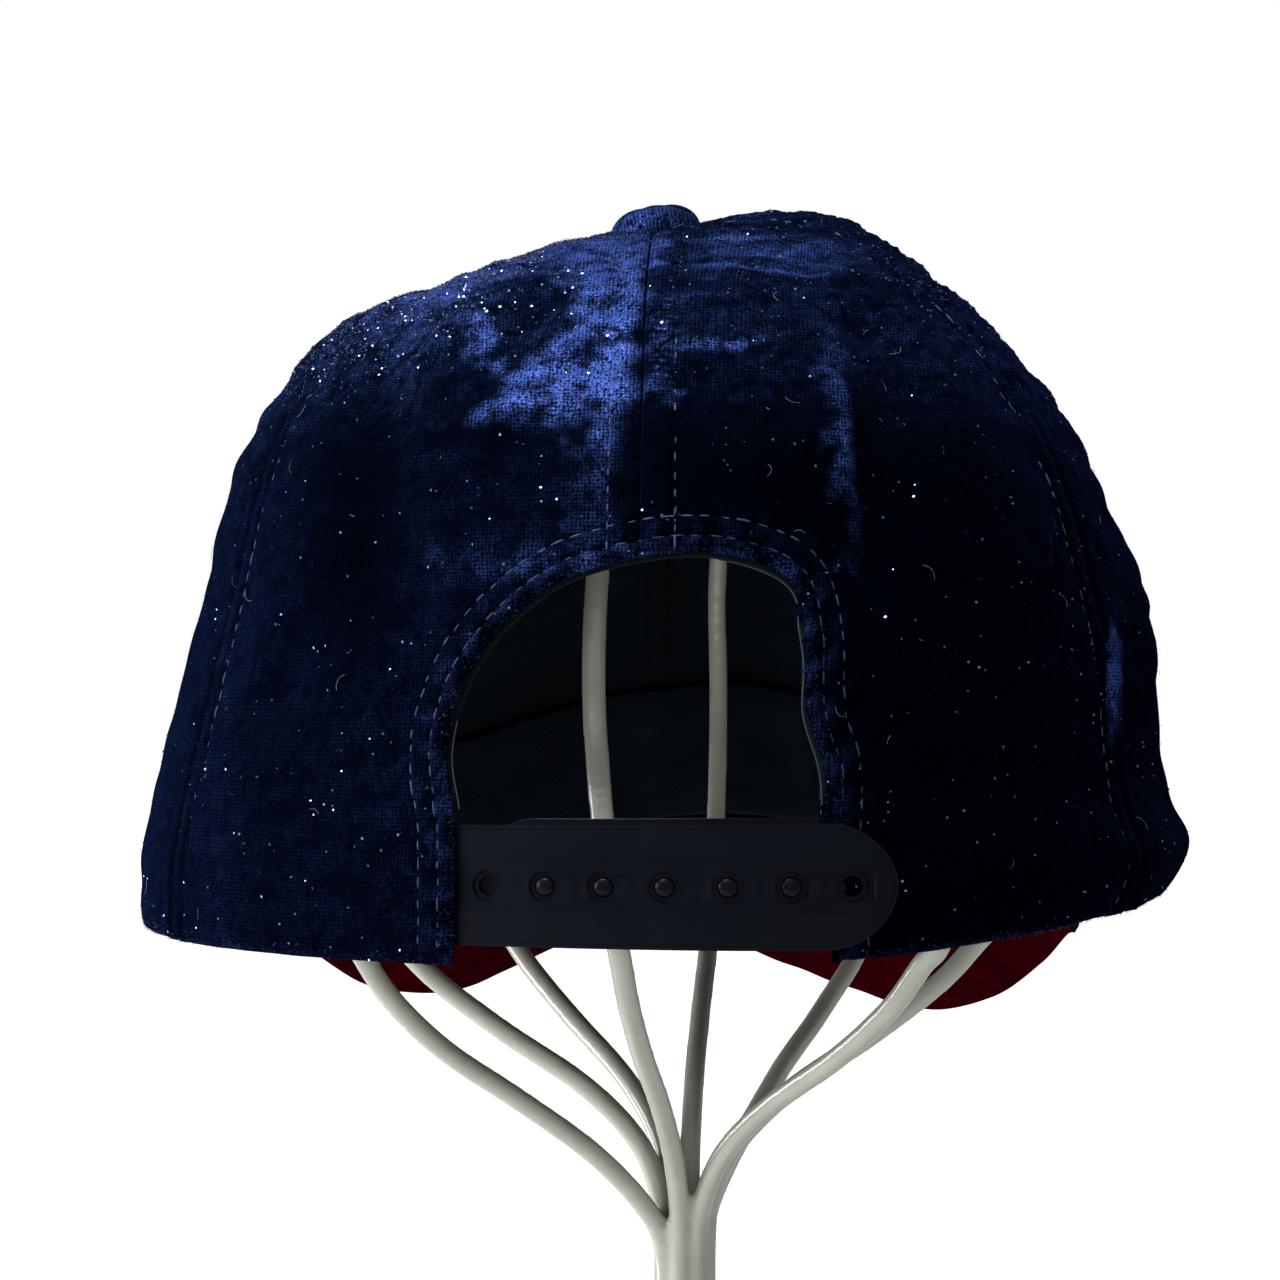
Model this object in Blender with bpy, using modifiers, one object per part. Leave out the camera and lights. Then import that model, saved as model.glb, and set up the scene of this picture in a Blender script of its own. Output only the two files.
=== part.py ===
"""Six-panel velvet snapback cap with a curved brim, standing on a dip-coated wire hat stand.

Metres, +Z up. The origin is the centre of the stand's base on the floor. The brim points to -Y,
the half-moon opening with its snap straps faces +Y, and the wearer's left is +X.
Angles round the cap are measured from the back seam towards +X.
"""

import math

import bmesh
import bpy
import numpy as np
from mathutils import Vector

# Crown: outer size of the cloth, and the height of the apex over the rear rim
CROWN_WIDTH = 0.186
CROWN_DEPTH = 0.190
CROWN_HEIGHT = 0.125
CLOTH = 0.0016
FRONT_LIFT = 0.015
FRONT_TURN = 6.0
PANEL_BELLY = 0.0016

# Half-moon opening
OPENING_WIDTH = 0.0575
OPENING_HEIGHT = 0.0618
FACING_WIDTH = 0.010
FACING_THICKNESS = 0.0009

# Snap closure
STRAP_WIDTH = 0.0189
STRAP_THICKNESS = 0.0013
STRAP_FOOT = 0.0009
SNAP_PITCH = 0.0091
HOLE_COUNT = 7
STUD_COUNT = 5
HOLE_RADIUS = 0.0017
SNAP_CLEARANCE = 0.0003
STUD_RISE = 0.0007
TAIL_BEYOND_HOLE = 0.0068
TAIL_BEYOND_STUD = 0.0116
HOLE_INSIDE_EDGE = 0.0024
UNDER_RAISE = 0.0012
STRAP_TUCK = 0.0125
CROSSING_SHARE = 0.86

# Sweatband, button and brim
SWEATBAND_HEIGHT = 0.027
SWEATBAND_THICKNESS = 0.0011
BUTTON_RADIUS = 0.0085
BUTTON_HEIGHT = 0.0056
BUTTON_FOOT_SHARE = 0.90
BRIM_LENGTH = 0.066
BRIM_WIDTH = 0.168
BRIM_THICKNESS = 0.0038
BRIM_DROP = 0.047
BRIM_HALF_TURN = 64.0
BRIM_SKEW = 0.0018

# Stand
RIM_FROM_FLOOR = 0.200
CAP_SHIFT = 0.0053
WIRE_DIAMETER = 0.0040
CAGE_CLEARANCE = 0.0135
HUB_DROP = 0.070
POST_RADIUS = 0.0058
BOSS_RADIUS = 0.0072
BOSS_THICKNESS = 0.0052
BASE_RADIUS = 0.078
BASE_THICKNESS = 0.0040

# Clearances between pieces that touch on the real cap
GAP = 0.0003
SEAM_GAP = 0.0006
LINING_CLEARANCE = 0.0011

PANELS = (
    ("panel_back_left", 0, 60, 14, 18),
    ("panel_side_left", 60, 120, 10, 14),
    ("panel_front_left", 120, 180, 10, 14),
    ("panel_front_right", 180, 240, 10, 14),
    ("panel_side_right", 240, 300, 10, 14),
    ("panel_back_right", 300, 360, 14, 18),
)

# Crown sections from the rim to the apex. Reaches are shares of half the width or half the depth,
# rises are shares of the height. The right shoulder is fuller and the left one slopes.
SECTION_COLUMNS = (
    "left", "left_rise", "right", "right_rise", "back", "back_rise", "front", "front_rise",
)
SECTIONS = (
    (1.000, -0.016, 0.985, 0.034, 1.000, -0.016, 1.000, 0.000),
    (1.000, 0.075, 1.031, 0.105, 1.003, 0.075, 1.010, 0.084),
    (0.974, 0.176, 0.984, 0.200, 0.990, 0.183, 1.016, 0.191),
    (0.894, 0.410, 0.948, 0.416, 0.947, 0.408, 1.005, 0.416),
    (0.800, 0.668, 0.845, 0.654, 0.835, 0.664, 0.910, 0.674),
    (0.630, 0.845, 0.662, 0.846, 0.640, 0.842, 0.695, 0.868),
    (0.473, 0.895, 0.540, 0.927, 0.505, 0.900, 0.537, 0.930),
    (0.301, 0.946, 0.378, 1.014, 0.326, 0.958, 0.347, 0.975),
    (0.129, 0.982, 0.194, 1.030, 0.147, 0.988, 0.158, 0.994),
    (0.043, 0.994, 0.043, 1.000, 0.042, 0.997, 0.042, 0.998),
)

# Folds in the cloth. Angles at the fold's low and high end, the heights of those ends as shares of
# the crown's height, and its depth and half width as shares of half the crown's width.
FOLDS = (
    (24, 42, 0.36, 0.84, 0.032, 0.090),
    (-24, -38, 0.44, 0.86, 0.036, 0.085),
    (44, 32, 0.28, 0.52, 0.020, 0.090),
    (-36, -31, 0.28, 0.50, 0.018, 0.080),
    (-70, -76, 0.30, 0.54, -0.026, 0.090),
    (-92, -84, 0.32, 0.66, 0.024, 0.110),
    (84, 96, 0.30, 0.66, 0.020, 0.110),
    (150, 160, 0.34, 0.72, 0.018, 0.120),
    (-148, -156, 0.32, 0.68, 0.018, 0.120),
)
FOLD_FADE_SHARE = 0.15

# Half-moon opening from its left foot to its right foot: shares of half its width and of its height
ARCH_COLUMNS = ("out", "rise")
ARCH = (
    (1.00, 0.00), (1.00, 0.30), (1.05, 0.52), (0.88, 0.74), (0.50, 0.91), (0.05, 0.985), (-0.40, 1.00),
    (-0.80, 0.94), (-0.90, 0.80), (-0.91, 0.60), (-1.00, 0.45), (-0.99, 0.28), (-1.04, 0.00),
)
ARCH_POINTS = 30

# Brim edge from the front centre to its corner: turn is the share of the corner's angle, the drops
# are shares of the brim's deepest droop below the rim's front.
BRIM_COLUMNS = ("turn", "left_drop", "right_drop")
BRIM_EDGE = (
    (0.00, 0.65, 0.65),
    (0.14, 0.67, 0.80),
    (0.28, 0.83, 0.93),
    (0.42, 0.91, 0.99),
    (0.60, 0.82, 0.90),
    (0.80, 0.57, 0.68),
    (1.00, 0.44, 0.47),
)
BRIM_OUTLINE_POWER = 2.7

# Stand wires: azimuth from the back towards +X, the flare at the rim as a share of the widest, how tightly
# the wire keeps to the hub before it flares, and how far it turns aside inside the crown
WIRES = (
    (10.5, 0.82, 1.30, 0.0),
    (60.0, 0.97, 0.92, 0.0),
    (96.0, 0.89, 1.63, 0.0),
    (141.0, 0.99, 1.75, -9.0),
    (184.5, 0.90, 1.89, 0.0),
    (217.0, 0.94, 1.17, 0.0),
    (268.0, 0.87, 1.52, 0.0),
    (321.0, 1.01, 1.34, 0.0),
)

# Wire profile under the rim: height as a share of the hub's drop, reach as a share of the cage's
FLARE = (
    (-1.00, 0.00), (-0.87, 0.01), (-0.756, 0.07), (-0.613, 0.215), (-0.47, 0.423), (-0.33, 0.65),
    (-0.194, 0.812), (-0.077, 0.904), (0.00, 0.958),
)
# Wire profile inside the crown: height as a share of the boss's height, reach as a share of the cage's
DOME = (
    (0.16, 0.995), (0.34, 1.000), (0.52, 0.955), (0.68, 0.860), (0.81, 0.700), (0.90, 0.500),
    (0.965, 0.270),
)
WIRE_POINTS = 20

STRAP_STEPS = 16
TO_RADIANS = math.pi / 180
HALF_WIDTH = CROWN_WIDTH / 2
HALF_DEPTH = CROWN_DEPTH / 2


def clear_scene():
    for old in list(bpy.data.objects):
        bpy.data.objects.remove(old, do_unlink=True)


def make_collection(name, hidden=False):
    made = bpy.data.collections.new(name)
    bpy.context.scene.collection.children.link(made)
    made.hide_render = hidden
    return made


def make_material(name, colour, roughness, metallic=0.0, sheen=0.0):
    material = bpy.data.materials.new(name)
    material.use_nodes = True
    shader = material.node_tree.nodes["Principled BSDF"]
    shader.inputs["Base Color"].default_value = (*colour, 1)
    shader.inputs["Roughness"].default_value = roughness
    shader.inputs["Metallic"].default_value = metallic
    shader.inputs["Sheen Weight"].default_value = sheen
    material.diffuse_color = (*colour, 1)
    return material


def column(table, columns, name):
    return np.array([row[columns.index(name)] for row in table], float)


def smooth_through(values, place):
    """A smooth curve through evenly spaced values, at a place from 0 to 1."""
    last = len(values) - 1
    reach = min(max(place, 0.0), 1.0) * last
    low = min(int(reach), last - 1)
    share = reach - low
    before = values[max(low - 1, 0)]
    start, end = values[low], values[low + 1]
    after = values[min(low + 2, last)]
    slope_in = (end - before) / 2
    slope_out = (after - start) / 2
    return (
        (2 * share**3 - 3 * share**2 + 1) * start
        + (share**3 - 2 * share**2 + share) * slope_in
        + (3 * share**2 - 2 * share**3) * end
        + (share**3 - share**2) * slope_out
    )


def ease(share):
    share = min(max(share, 0.0), 1.0)
    return share * share * (3 - 2 * share)


def front_lift(angle):
    """How far the rim arches up over the brim at this angle."""
    return FRONT_LIFT * max(0.0, -math.cos((angle - FRONT_TURN) * TO_RADIANS)) ** 6


def panel_belly(angle, station):
    """Each panel swells between its two seams, and less so at the rim and the apex."""
    across = abs(math.sin(3 * angle * TO_RADIANS))
    return PANEL_BELLY * across * (0.35 + 0.65 * math.sin(math.pi * min(station * 1.15, 1.0)))


def fold_depth(angle, rise):
    """Sum of the folds' depths at an angle and a height share."""
    total = 0.0
    for low_angle, high_angle, low, high, depth, spread in FOLDS:
        along = (rise - low) / (high - low)
        if not -FOLD_FADE_SHARE < along < 1 + FOLD_FADE_SHARE:
            continue
        middle = low_angle + (high_angle - low_angle) * along
        turn = (angle - middle + 180) % 360 - 180
        across = turn * TO_RADIANS / spread
        window = ease((along + FOLD_FADE_SHARE) / 0.4) * ease((1 + FOLD_FADE_SHARE - along) / 0.4)
        total += depth * HALF_WIDTH * window * math.exp(-across * across)
    return total


def crown_surface(angle, station):
    """A point of the cloth's outer face. Station runs from 0 at the rim to 1 at the apex."""
    turn = angle * TO_RADIANS
    sine, cosine = math.sin(turn), math.cos(turn)
    side = "left" if sine >= 0 else "right"
    end = "back" if cosine >= 0 else "front"
    reach_x = HALF_WIDTH * smooth_through(SECTION[side], station)
    reach_y = HALF_DEPTH * smooth_through(SECTION[end], station)
    side_rise = smooth_through(SECTION[side + "_rise"], station)
    end_rise = smooth_through(SECTION[end + "_rise"], station)
    rise = side_rise * sine * sine + end_rise * cosine * cosine
    out = panel_belly(angle, station) - fold_depth(angle, rise)
    x = (reach_x + out) * sine
    y = (reach_y + out) * cosine
    z = CROWN_HEIGHT * rise + front_lift(angle) * (1 - station) ** 1.5
    return Vector((x, y, z))


def cloth_normal(angle, station):
    step = 0.01
    up = crown_surface(angle, min(station + step, 1.0)) - crown_surface(angle, max(station - step, 0.0))
    round_cap = crown_surface(angle + 0.5, station) - crown_surface(angle - 0.5, station)
    return up.cross(round_cap).normalized()


def crown_point(angle, station, out=0.0):
    """A point off the cloth's outer face, in the world."""
    point = crown_surface(angle, station)
    if out:
        point = point + cloth_normal(angle, station) * out
    return point + CAP_PLACE


def place_at(angle, height):
    """The station where the crown reaches this height over the rear rim at this angle."""
    low, high = 0.0, 1.0
    for _ in range(24):
        middle = (low + high) / 2
        if crown_surface(angle, middle).z < height:
            low = middle
        else:
            high = middle
    return (low + high) / 2


def back_place(x, height):
    """The angle and station of the point at the back with this sideways place and height."""
    angle = math.asin(x / HALF_DEPTH) / TO_RADIANS
    for _ in range(12):
        station = place_at(angle, height)
        angle += (x - crown_surface(angle, station).x) / HALF_DEPTH / TO_RADIANS
    return angle, place_at(angle, height)


def add_mesh(name, mesh, material, collection):
    made = bpy.data.objects.new(name, mesh)
    collection.objects.link(made)
    if material:
        mesh.materials.append(material)
        mesh.shade_smooth()
        mesh.set_sharp_from_angle(angle=40 * TO_RADIANS)
    return made


def grid_mesh(name, columns, rows, point_at, flip=False):
    """An open sheet lofted from point_at(u, v), with u and v from 0 to 1."""
    form = bmesh.new()
    grid = [
        [form.verts.new(point_at(i / columns, j / rows)) for j in range(rows + 1)]
        for i in range(columns + 1)
    ]
    for i in range(columns):
        for j in range(rows):
            corners = [grid[i][j], grid[i + 1][j], grid[i + 1][j + 1], grid[i][j + 1]]
            form.faces.new(corners[::-1] if flip else corners)
    mesh = bpy.data.meshes.new(name)
    form.to_mesh(mesh)
    form.free()
    return mesh


def sheet(name, columns, rows, point_at, thickness, material, flip=False):
    """A sheet of even thickness whose outer face is the lofted one."""
    made = add_mesh(name, grid_mesh(name, columns, rows, point_at, flip), material, PIECES)
    wall = made.modifiers.new("thickness", "SOLIDIFY")
    wall.thickness = thickness
    wall.offset = -1
    return made


def cut(target, cutter, operation="DIFFERENCE"):
    step = target.modifiers.new(cutter.name, "BOOLEAN")
    step.operation = operation
    step.solver = "EXACT"
    step.object = cutter


def as_cutter(made):
    made.hide_render = True
    made.display_type = "WIRE"
    return made


def arch_path(margin=0.0):
    """The opening's outline from its left foot over the arch to its right foot, as x and height.

    A positive margin lies outside the opening.
    """
    outs = column(ARCH, ARCH_COLUMNS, "out") * OPENING_WIDTH / 2
    rises = column(ARCH, ARCH_COLUMNS, "rise") * OPENING_HEIGHT
    places = [step / ARCH_POINTS for step in range(ARCH_POINTS + 1)]
    line = np.array([(smooth_through(outs, place), smooth_through(rises, place)) for place in places])
    along = np.gradient(line, axis=0)
    along /= np.linalg.norm(along, axis=1)[:, None]
    outward = np.stack([along[:, 1], -along[:, 0]], axis=1)
    return [tuple(point) for point in line + outward * margin]


def opening_cutter():
    """A prism through both back panels, in the shape of the half-moon opening."""
    outline = arch_path()
    below = -3 * CLOTH
    outline[0] = (outline[0][0], below)
    outline[-1] = (outline[-1][0], below)
    form = bmesh.new()
    near = CAP_PLACE.y + HALF_DEPTH * 0.6
    far = CAP_PLACE.y + HALF_DEPTH * 1.2
    points = [
        form.verts.new((x + CAP_PLACE.x, near, z + CAP_PLACE.z)) for x, z in outline
    ]
    face = form.faces.new(points)
    moved = bmesh.ops.extrude_face_region(form, geom=[face])["geom"]
    for item in moved:
        if isinstance(item, bmesh.types.BMVert):
            item.co.y = far
    bmesh.ops.recalc_face_normals(form, faces=form.faces)
    mesh = bpy.data.meshes.new("opening")
    form.to_mesh(mesh)
    form.free()
    return as_cutter(add_mesh("opening", mesh, None, CUTTERS))


def make_panel(name, start, stop, columns, rows, cutter):
    def point_at(u, v):
        middle = crown_surface((start + stop) / 2, v)
        radius = math.hypot(middle.x, middle.y)
        margin = SEAM_GAP / 2 / radius / TO_RADIANS
        return crown_point(start + margin + (stop - start - 2 * margin) * u, v)

    panel = sheet(name, columns, rows, point_at, CLOTH, NAVY_VELVET, flip=True)
    if cutter:
        cut(panel, cutter)


def make_crown():
    cutter = opening_cutter()
    for name, start, stop, columns, rows in PANELS:
        at_back = start == 0 or stop == 360
        make_panel(name, start, stop, columns, rows, cutter if at_back else None)


def make_button():
    """A cloth-covered dome that follows the slope of the apex."""
    left = crown_surface(90, place_within(90, BUTTON_RADIUS))
    right = crown_surface(-90, place_within(-90, BUTTON_RADIUS))
    back = crown_surface(0, place_within(0, BUTTON_RADIUS))
    front = crown_surface(180, place_within(180, BUTTON_RADIUS))
    across = (left - right).normalized()
    along = (back - front).normalized()
    up = across.cross(along).normalized()
    bed = max(crown_surface(turn, place_within(turn, share * BUTTON_RADIUS)).dot(up)
              for turn in range(0, 360, 15) for share in (0.55, 0.75, BUTTON_FOOT_SHARE))
    profile = [(0.0, BUTTON_HEIGHT)]
    for step in range(1, 7):
        turn = step / 6 * math.pi / 2
        profile.append((BUTTON_RADIUS * math.sin(turn) ** 0.9, BUTTON_HEIGHT * math.cos(turn) ** 0.8))
    profile[-1] = (BUTTON_RADIUS, BUTTON_HEIGHT * 0.2)
    profile += [(BUTTON_RADIUS * BUTTON_FOOT_SHARE, 0.0), (0.0, 0.0)]
    button = turned("button", profile, 24, NAVY_VELVET)
    button.location = CAP_PLACE + Vector((0, 0, (bed + GAP) / up.z))
    button.rotation_euler = up.to_track_quat("Z", "Y").to_euler()


def place_within(angle, radius):
    """The station where the crown's plan radius at this angle is the given one."""
    low, high = 0.5, 1.0
    for _ in range(24):
        middle = (low + high) / 2
        point = crown_surface(angle, middle)
        if math.hypot(point.x, point.y) > radius:
            low = middle
        else:
            high = middle
    return (low + high) / 2


def turned(name, profile, steps, material):
    """A profile of (radius, height) points turned about Z."""
    form = bmesh.new()
    points = [form.verts.new((radius, 0, height)) for radius, height in profile]
    for first, second in zip(points, points[1:]):
        form.edges.new((first, second))
    mesh = bpy.data.meshes.new(name)
    form.to_mesh(mesh)
    form.free()
    made = add_mesh(name, mesh, material, PIECES)
    screw = made.modifiers.new("turn", "SCREW")
    screw.steps = steps
    screw.render_steps = steps
    screw.use_merge_vertices = True
    screw.merge_threshold = 0.0001
    screw.use_smooth_shade = True
    return made


def make_sweatband():
    """The band inside the rim, from one side of the opening round the front to the other."""
    inset = -(CLOTH + LINING_CLEARANCE)
    first = strap_end_angle() + 2.0

    def point_at(u, v):
        angle = first + (360 - 2 * first) * u
        lowest = crown_surface(angle, 0.0).z + GAP * 3
        height = lowest + SWEATBAND_HEIGHT * v
        return crown_point(angle, place_at(angle, height), inset)

    sheet("sweatband", 40, 3, point_at, SWEATBAND_THICKNESS, BLACK_TWILL, flip=True)


def make_facing():
    """The tape that binds the inside of the half-moon opening above the straps."""
    outer = arch_path(FACING_WIDTH)
    inner = arch_path(CLOTH * 0.3)
    foot = STRAP_FOOT + STRAP_WIDTH + UNDER_RAISE + 2 * LINING_CLEARANCE
    kept = [step for step, (x, height) in enumerate(inner) if height > foot]
    last = len(kept) - 1

    def point_at(u, v):
        step = kept[round(u * last)]
        x, height = np.array(inner[step]) * (1 - v) + np.array(outer[step]) * v
        angle, station = back_place(x, height)
        return crown_point(angle, station, -(CLOTH + LINING_CLEARANCE))

    sheet("arch_facing", last, 2, point_at, FACING_THICKNESS, BLACK_TWILL, flip=False)


def strap_radius():
    """Radius of the rear rim, for turning lengths along the strap into angles."""
    return HALF_WIDTH * HALF_WIDTH / HALF_DEPTH


def strap_angle(length):
    return length / strap_radius() / TO_RADIANS


def strap_end_angle():
    return strap_angle(OPENING_WIDTH / 2 + STRAP_TUCK)


def hole_places():
    """Lengths from the back seam to each hole, towards +X. The last lies over the right panel."""
    last = -(OPENING_WIDTH / 2 + HOLE_INSIDE_EDGE)
    return [last + SNAP_PITCH * step for step in range(HOLE_COUNT)]


def top_offset(length):
    """Distance of the upper strap's outer face off the cloth: inside on the left, outside on the right."""
    inside = -(CLOTH + GAP)
    outside = GAP + STRAP_THICKNESS
    half = OPENING_WIDTH / 2 * CROSSING_SHARE
    return outside + (inside - outside) * ease((length + half) / (2 * half))


def under_offset(length):
    """The lower strap passes under the upper one and inside the right panel."""
    below_top = STRAP_THICKNESS + GAP
    inside_left = -(CLOTH + GAP) - below_top
    inside_right = -(CLOTH + GAP)
    half = OPENING_WIDTH / 2 * CROSSING_SHARE
    return inside_right + (inside_left - inside_right) * ease((length + half) / (2 * half))


def strap_point(length, height, offset):
    angle = strap_angle(length)
    return crown_point(angle, place_at(angle, height), offset)


def strap_sheet(name, square_end, round_end, offset_at, rise, material):
    """A strap from its sewn end to its round end, of even thickness."""
    radius = STRAP_WIDTH / 2
    direction = 1 if round_end > square_end else -1
    straight = abs(round_end - square_end) - radius
    turns = 6
    stations = [square_end + direction * straight * step / STRAP_STEPS for step in range(STRAP_STEPS)]
    halves = [radius] * STRAP_STEPS
    for step in range(turns + 1):
        turn = step / turns * 84 * TO_RADIANS
        stations.append(round_end - direction * radius * (1 - math.sin(turn)))
        halves.append(radius * math.cos(turn))
    middle = STRAP_FOOT + radius + rise
    last = len(stations) - 1

    def point_at(u, v):
        step = round(u * last)
        height = middle + halves[step] * (2 * v - 1)
        return strap_point(stations[step], height, offset_at(stations[step]))

    return sheet(name, last, 2, point_at, STRAP_THICKNESS, material, flip=direction > 0)


def pegs(name, lengths, radius, low_at, high_at, collection):
    """Round pegs square to the cloth, one at each length along the strap."""
    form = bmesh.new()
    middle = STRAP_FOOT + STRAP_WIDTH / 2
    for length in lengths:
        inner = strap_point(length, middle, low_at(length))
        outer = strap_point(length, middle, high_at(length))
        axis = outer - inner
        turn = axis.to_track_quat("Z", "Y").to_matrix().to_4x4()
        turn.translation = (inner + outer) / 2
        bmesh.ops.create_cone(
            form, cap_ends=True, segments=12, radius1=radius, radius2=radius,
            depth=axis.length, matrix=turn,
        )
    mesh = bpy.data.meshes.new(name)
    form.to_mesh(mesh)
    form.free()
    return as_cutter(add_mesh(name, mesh, None, collection))


def make_straps():
    holes = hole_places()
    sewn_left = OPENING_WIDTH / 2 + STRAP_TUCK
    sewn_right = -sewn_left
    top_tip = holes[0] - TAIL_BEYOND_HOLE
    first_stud = (HOLE_COUNT - STUD_COUNT) // 2
    studs = holes[first_stud:first_stud + STUD_COUNT]
    under_tip = studs[-1] + TAIL_BEYOND_STUD
    top = strap_sheet("strap_with_holes", sewn_left, top_tip, top_offset, 0.0, NAVY_PLASTIC)
    clear = STRAP_THICKNESS
    holes_cutter = pegs(
        "snap_holes", holes, HOLE_RADIUS,
        lambda length: top_offset(length) - STRAP_THICKNESS - clear,
        lambda length: top_offset(length) + clear, CUTTERS,
    )
    cut(top, holes_cutter)
    under = strap_sheet("strap_with_studs", sewn_right, under_tip, under_offset, UNDER_RAISE, NAVY_PLASTIC)
    stud_pegs = pegs(
        "snap_studs", studs, HOLE_RADIUS - SNAP_CLEARANCE,
        lambda length: under_offset(length) - STRAP_THICKNESS / 2,
        lambda length: top_offset(length) + STUD_RISE, CUTTERS,
    )
    cut(under, stud_pegs, "UNION")


def brim_drop(share, side):
    """Height of the brim's edge under the front of the rim, from its own table."""
    turns = column(BRIM_EDGE, BRIM_COLUMNS, "turn")
    drops = column(BRIM_EDGE, BRIM_COLUMNS, side + "_drop")
    step = int(np.searchsorted(turns, share, side="right")) - 1
    step = min(max(step, 0), len(turns) - 2)
    between = (share - turns[step]) / (turns[step + 1] - turns[step])
    return BRIM_DROP * smooth_through(drops, (step + between) / (len(drops) - 1))


def brim_point(u, v):
    """A point of the brim's upper face: u runs from the left corner to the right, v from rim to edge."""
    turn = (1 - 2 * u) * BRIM_HALF_TURN
    angle = 180 - turn
    root = crown_point(angle, 0.0)
    wall = cloth_normal(angle, 0.0)
    wall.z = 0
    root = root - wall.normalized() * CLOTH
    root.z -= GAP
    share = abs(1 - 2 * u)
    side = "left" if u < 0.5 else "right"
    spread = share * math.pi / 2
    corner = -crown_surface(180 - BRIM_HALF_TURN, 0.0).y
    power = 2 / BRIM_OUTLINE_POWER
    reach_x = BRIM_WIDTH / 2 * math.sin(spread) ** power
    reach_y = corner + (HALF_DEPTH + BRIM_LENGTH - corner) * math.cos(spread) ** power
    edge = Vector((
        reach_x if side == "left" else -reach_x,
        -reach_y,
        FRONT_LIFT - brim_drop(share, side),
    ))
    edge.x -= BRIM_SKEW * math.cos(spread) ** power
    edge = edge + CAP_PLACE
    point = root.lerp(edge, v)
    point.z = root.z + (edge.z - root.z) * v ** 1.15
    return point


def make_brim():
    sheet("brim", 32, 5, brim_point, BRIM_THICKNESS, RED_VELVET, flip=False)


def boss_top():
    """The crown's inside rests on the boss, so its top follows the lowest cloth over it."""
    heights = []
    for turn in range(0, 360, 15):
        edge = Vector((BOSS_RADIUS * math.sin(turn * TO_RADIANS), BOSS_RADIUS * math.cos(turn * TO_RADIANS)))
        edge.x -= CAP_SHIFT
        angle = math.atan2(edge.x, edge.y) / TO_RADIANS
        station = place_within(angle, edge.length)
        heights.append(crown_surface(angle, station).z - CLOTH * 1.1)
    return min(heights) + RIM_FROM_FLOOR - GAP


def cage_reach():
    narrow = min(HALF_WIDTH, HALF_DEPTH)
    return narrow - CAP_SHIFT - CLOTH - CAGE_CLEARANCE


def wire_route(number):
    """Centre line of one wire from the hub through the flare and the dome to the boss."""
    azimuth, spread, hug, aside = WIRES[number]
    regular = 360 / len(WIRES) * number + WIRES[0][0]
    hub_ring = (WIRE_DIAMETER + GAP) / 2 / math.sin(math.pi / len(WIRES))
    rim = RIM_FROM_FLOOR
    end_height = boss_top() - BOSS_THICKNESS / 2
    reach = cage_reach()
    rows = []
    for rise, share in FLARE:
        height = rim + rise * HUB_DROP
        radius = hub_ring + (reach * spread - hub_ring) * share**hug
        turn = regular + (azimuth - regular) * min(1.0, share * 2)
        rows.append((radius, height, turn))
    rows[0] = (hub_ring, rows[0][1] + GAP + WIRE_DIAMETER, regular)
    for rise, share in DOME:
        height = rim + rise * (end_height - rim)
        settled = spread + (1 - spread) * ease(rise / 0.3)
        towards_top = ease((rise - 0.5) / 0.5)
        inside = azimuth + aside * ease(rise / 0.16)
        turn = inside + (regular - inside) * towards_top
        rows.append((reach * share * settled, height, turn))
    rows.append((BOSS_RADIUS + GAP + WIRE_DIAMETER / 2, end_height, regular))
    radii, heights, turns = np.array(rows).T
    first = regular * TO_RADIANS
    points = [(hub_ring * math.sin(first), hub_ring * math.cos(first), rows[0][1] - WIRE_DIAMETER)]
    for step in range(WIRE_POINTS + 1):
        place = step / WIRE_POINTS
        radius = smooth_through(radii, place)
        turn = smooth_through(turns, place) * TO_RADIANS
        points.append((radius * math.sin(turn), radius * math.cos(turn), smooth_through(heights, place)))
    end = BOSS_RADIUS + GAP
    points.append((end * math.sin(first), end * math.cos(first), end_height))
    return points


def make_wire(number):
    points = wire_route(number)
    curve = bpy.data.curves.new(f"stand_wire_{number + 1}", "CURVE")
    curve.dimensions = "3D"
    curve.bevel_depth = WIRE_DIAMETER / 2
    curve.bevel_resolution = 2
    curve.use_fill_caps = True
    spline = curve.splines.new("POLY")
    spline.points.add(len(points) - 1)
    for point, place in zip(spline.points, points):
        point.co = (*place, 1)
    curve.materials.append(DIPPED_WIRE)
    made = bpy.data.objects.new(f"stand_wire_{number + 1}", curve)
    PIECES.objects.link(made)


def make_stand():
    hub_top = RIM_FROM_FLOOR - HUB_DROP
    bevel = BASE_THICKNESS * 0.3
    turned("stand_base", [
        (0.0, BASE_THICKNESS),
        (BASE_RADIUS - bevel, BASE_THICKNESS),
        (BASE_RADIUS, BASE_THICKNESS - bevel),
        (BASE_RADIUS, 0.0),
        (0.0, 0.0),
    ], 48, DIPPED_WIRE)
    collar = POST_RADIUS * 1.3
    turned("stand_post", [
        (0.0, hub_top),
        (collar, hub_top),
        (collar, hub_top - POST_RADIUS * 0.6),
        (POST_RADIUS, hub_top - POST_RADIUS * 2),
        (POST_RADIUS, BASE_THICKNESS + POST_RADIUS * 1.5),
        (POST_RADIUS * 1.8, BASE_THICKNESS + GAP),
        (0.0, BASE_THICKNESS + GAP),
    ], 20, DIPPED_WIRE)
    for number in range(len(WIRES)):
        make_wire(number)
    top = boss_top()
    turned("stand_boss", [
        (0.0, top),
        (BOSS_RADIUS, top),
        (BOSS_RADIUS, top - BOSS_THICKNESS),
        (0.0, top - BOSS_THICKNESS),
    ], 16, DIPPED_WIRE)


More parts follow.
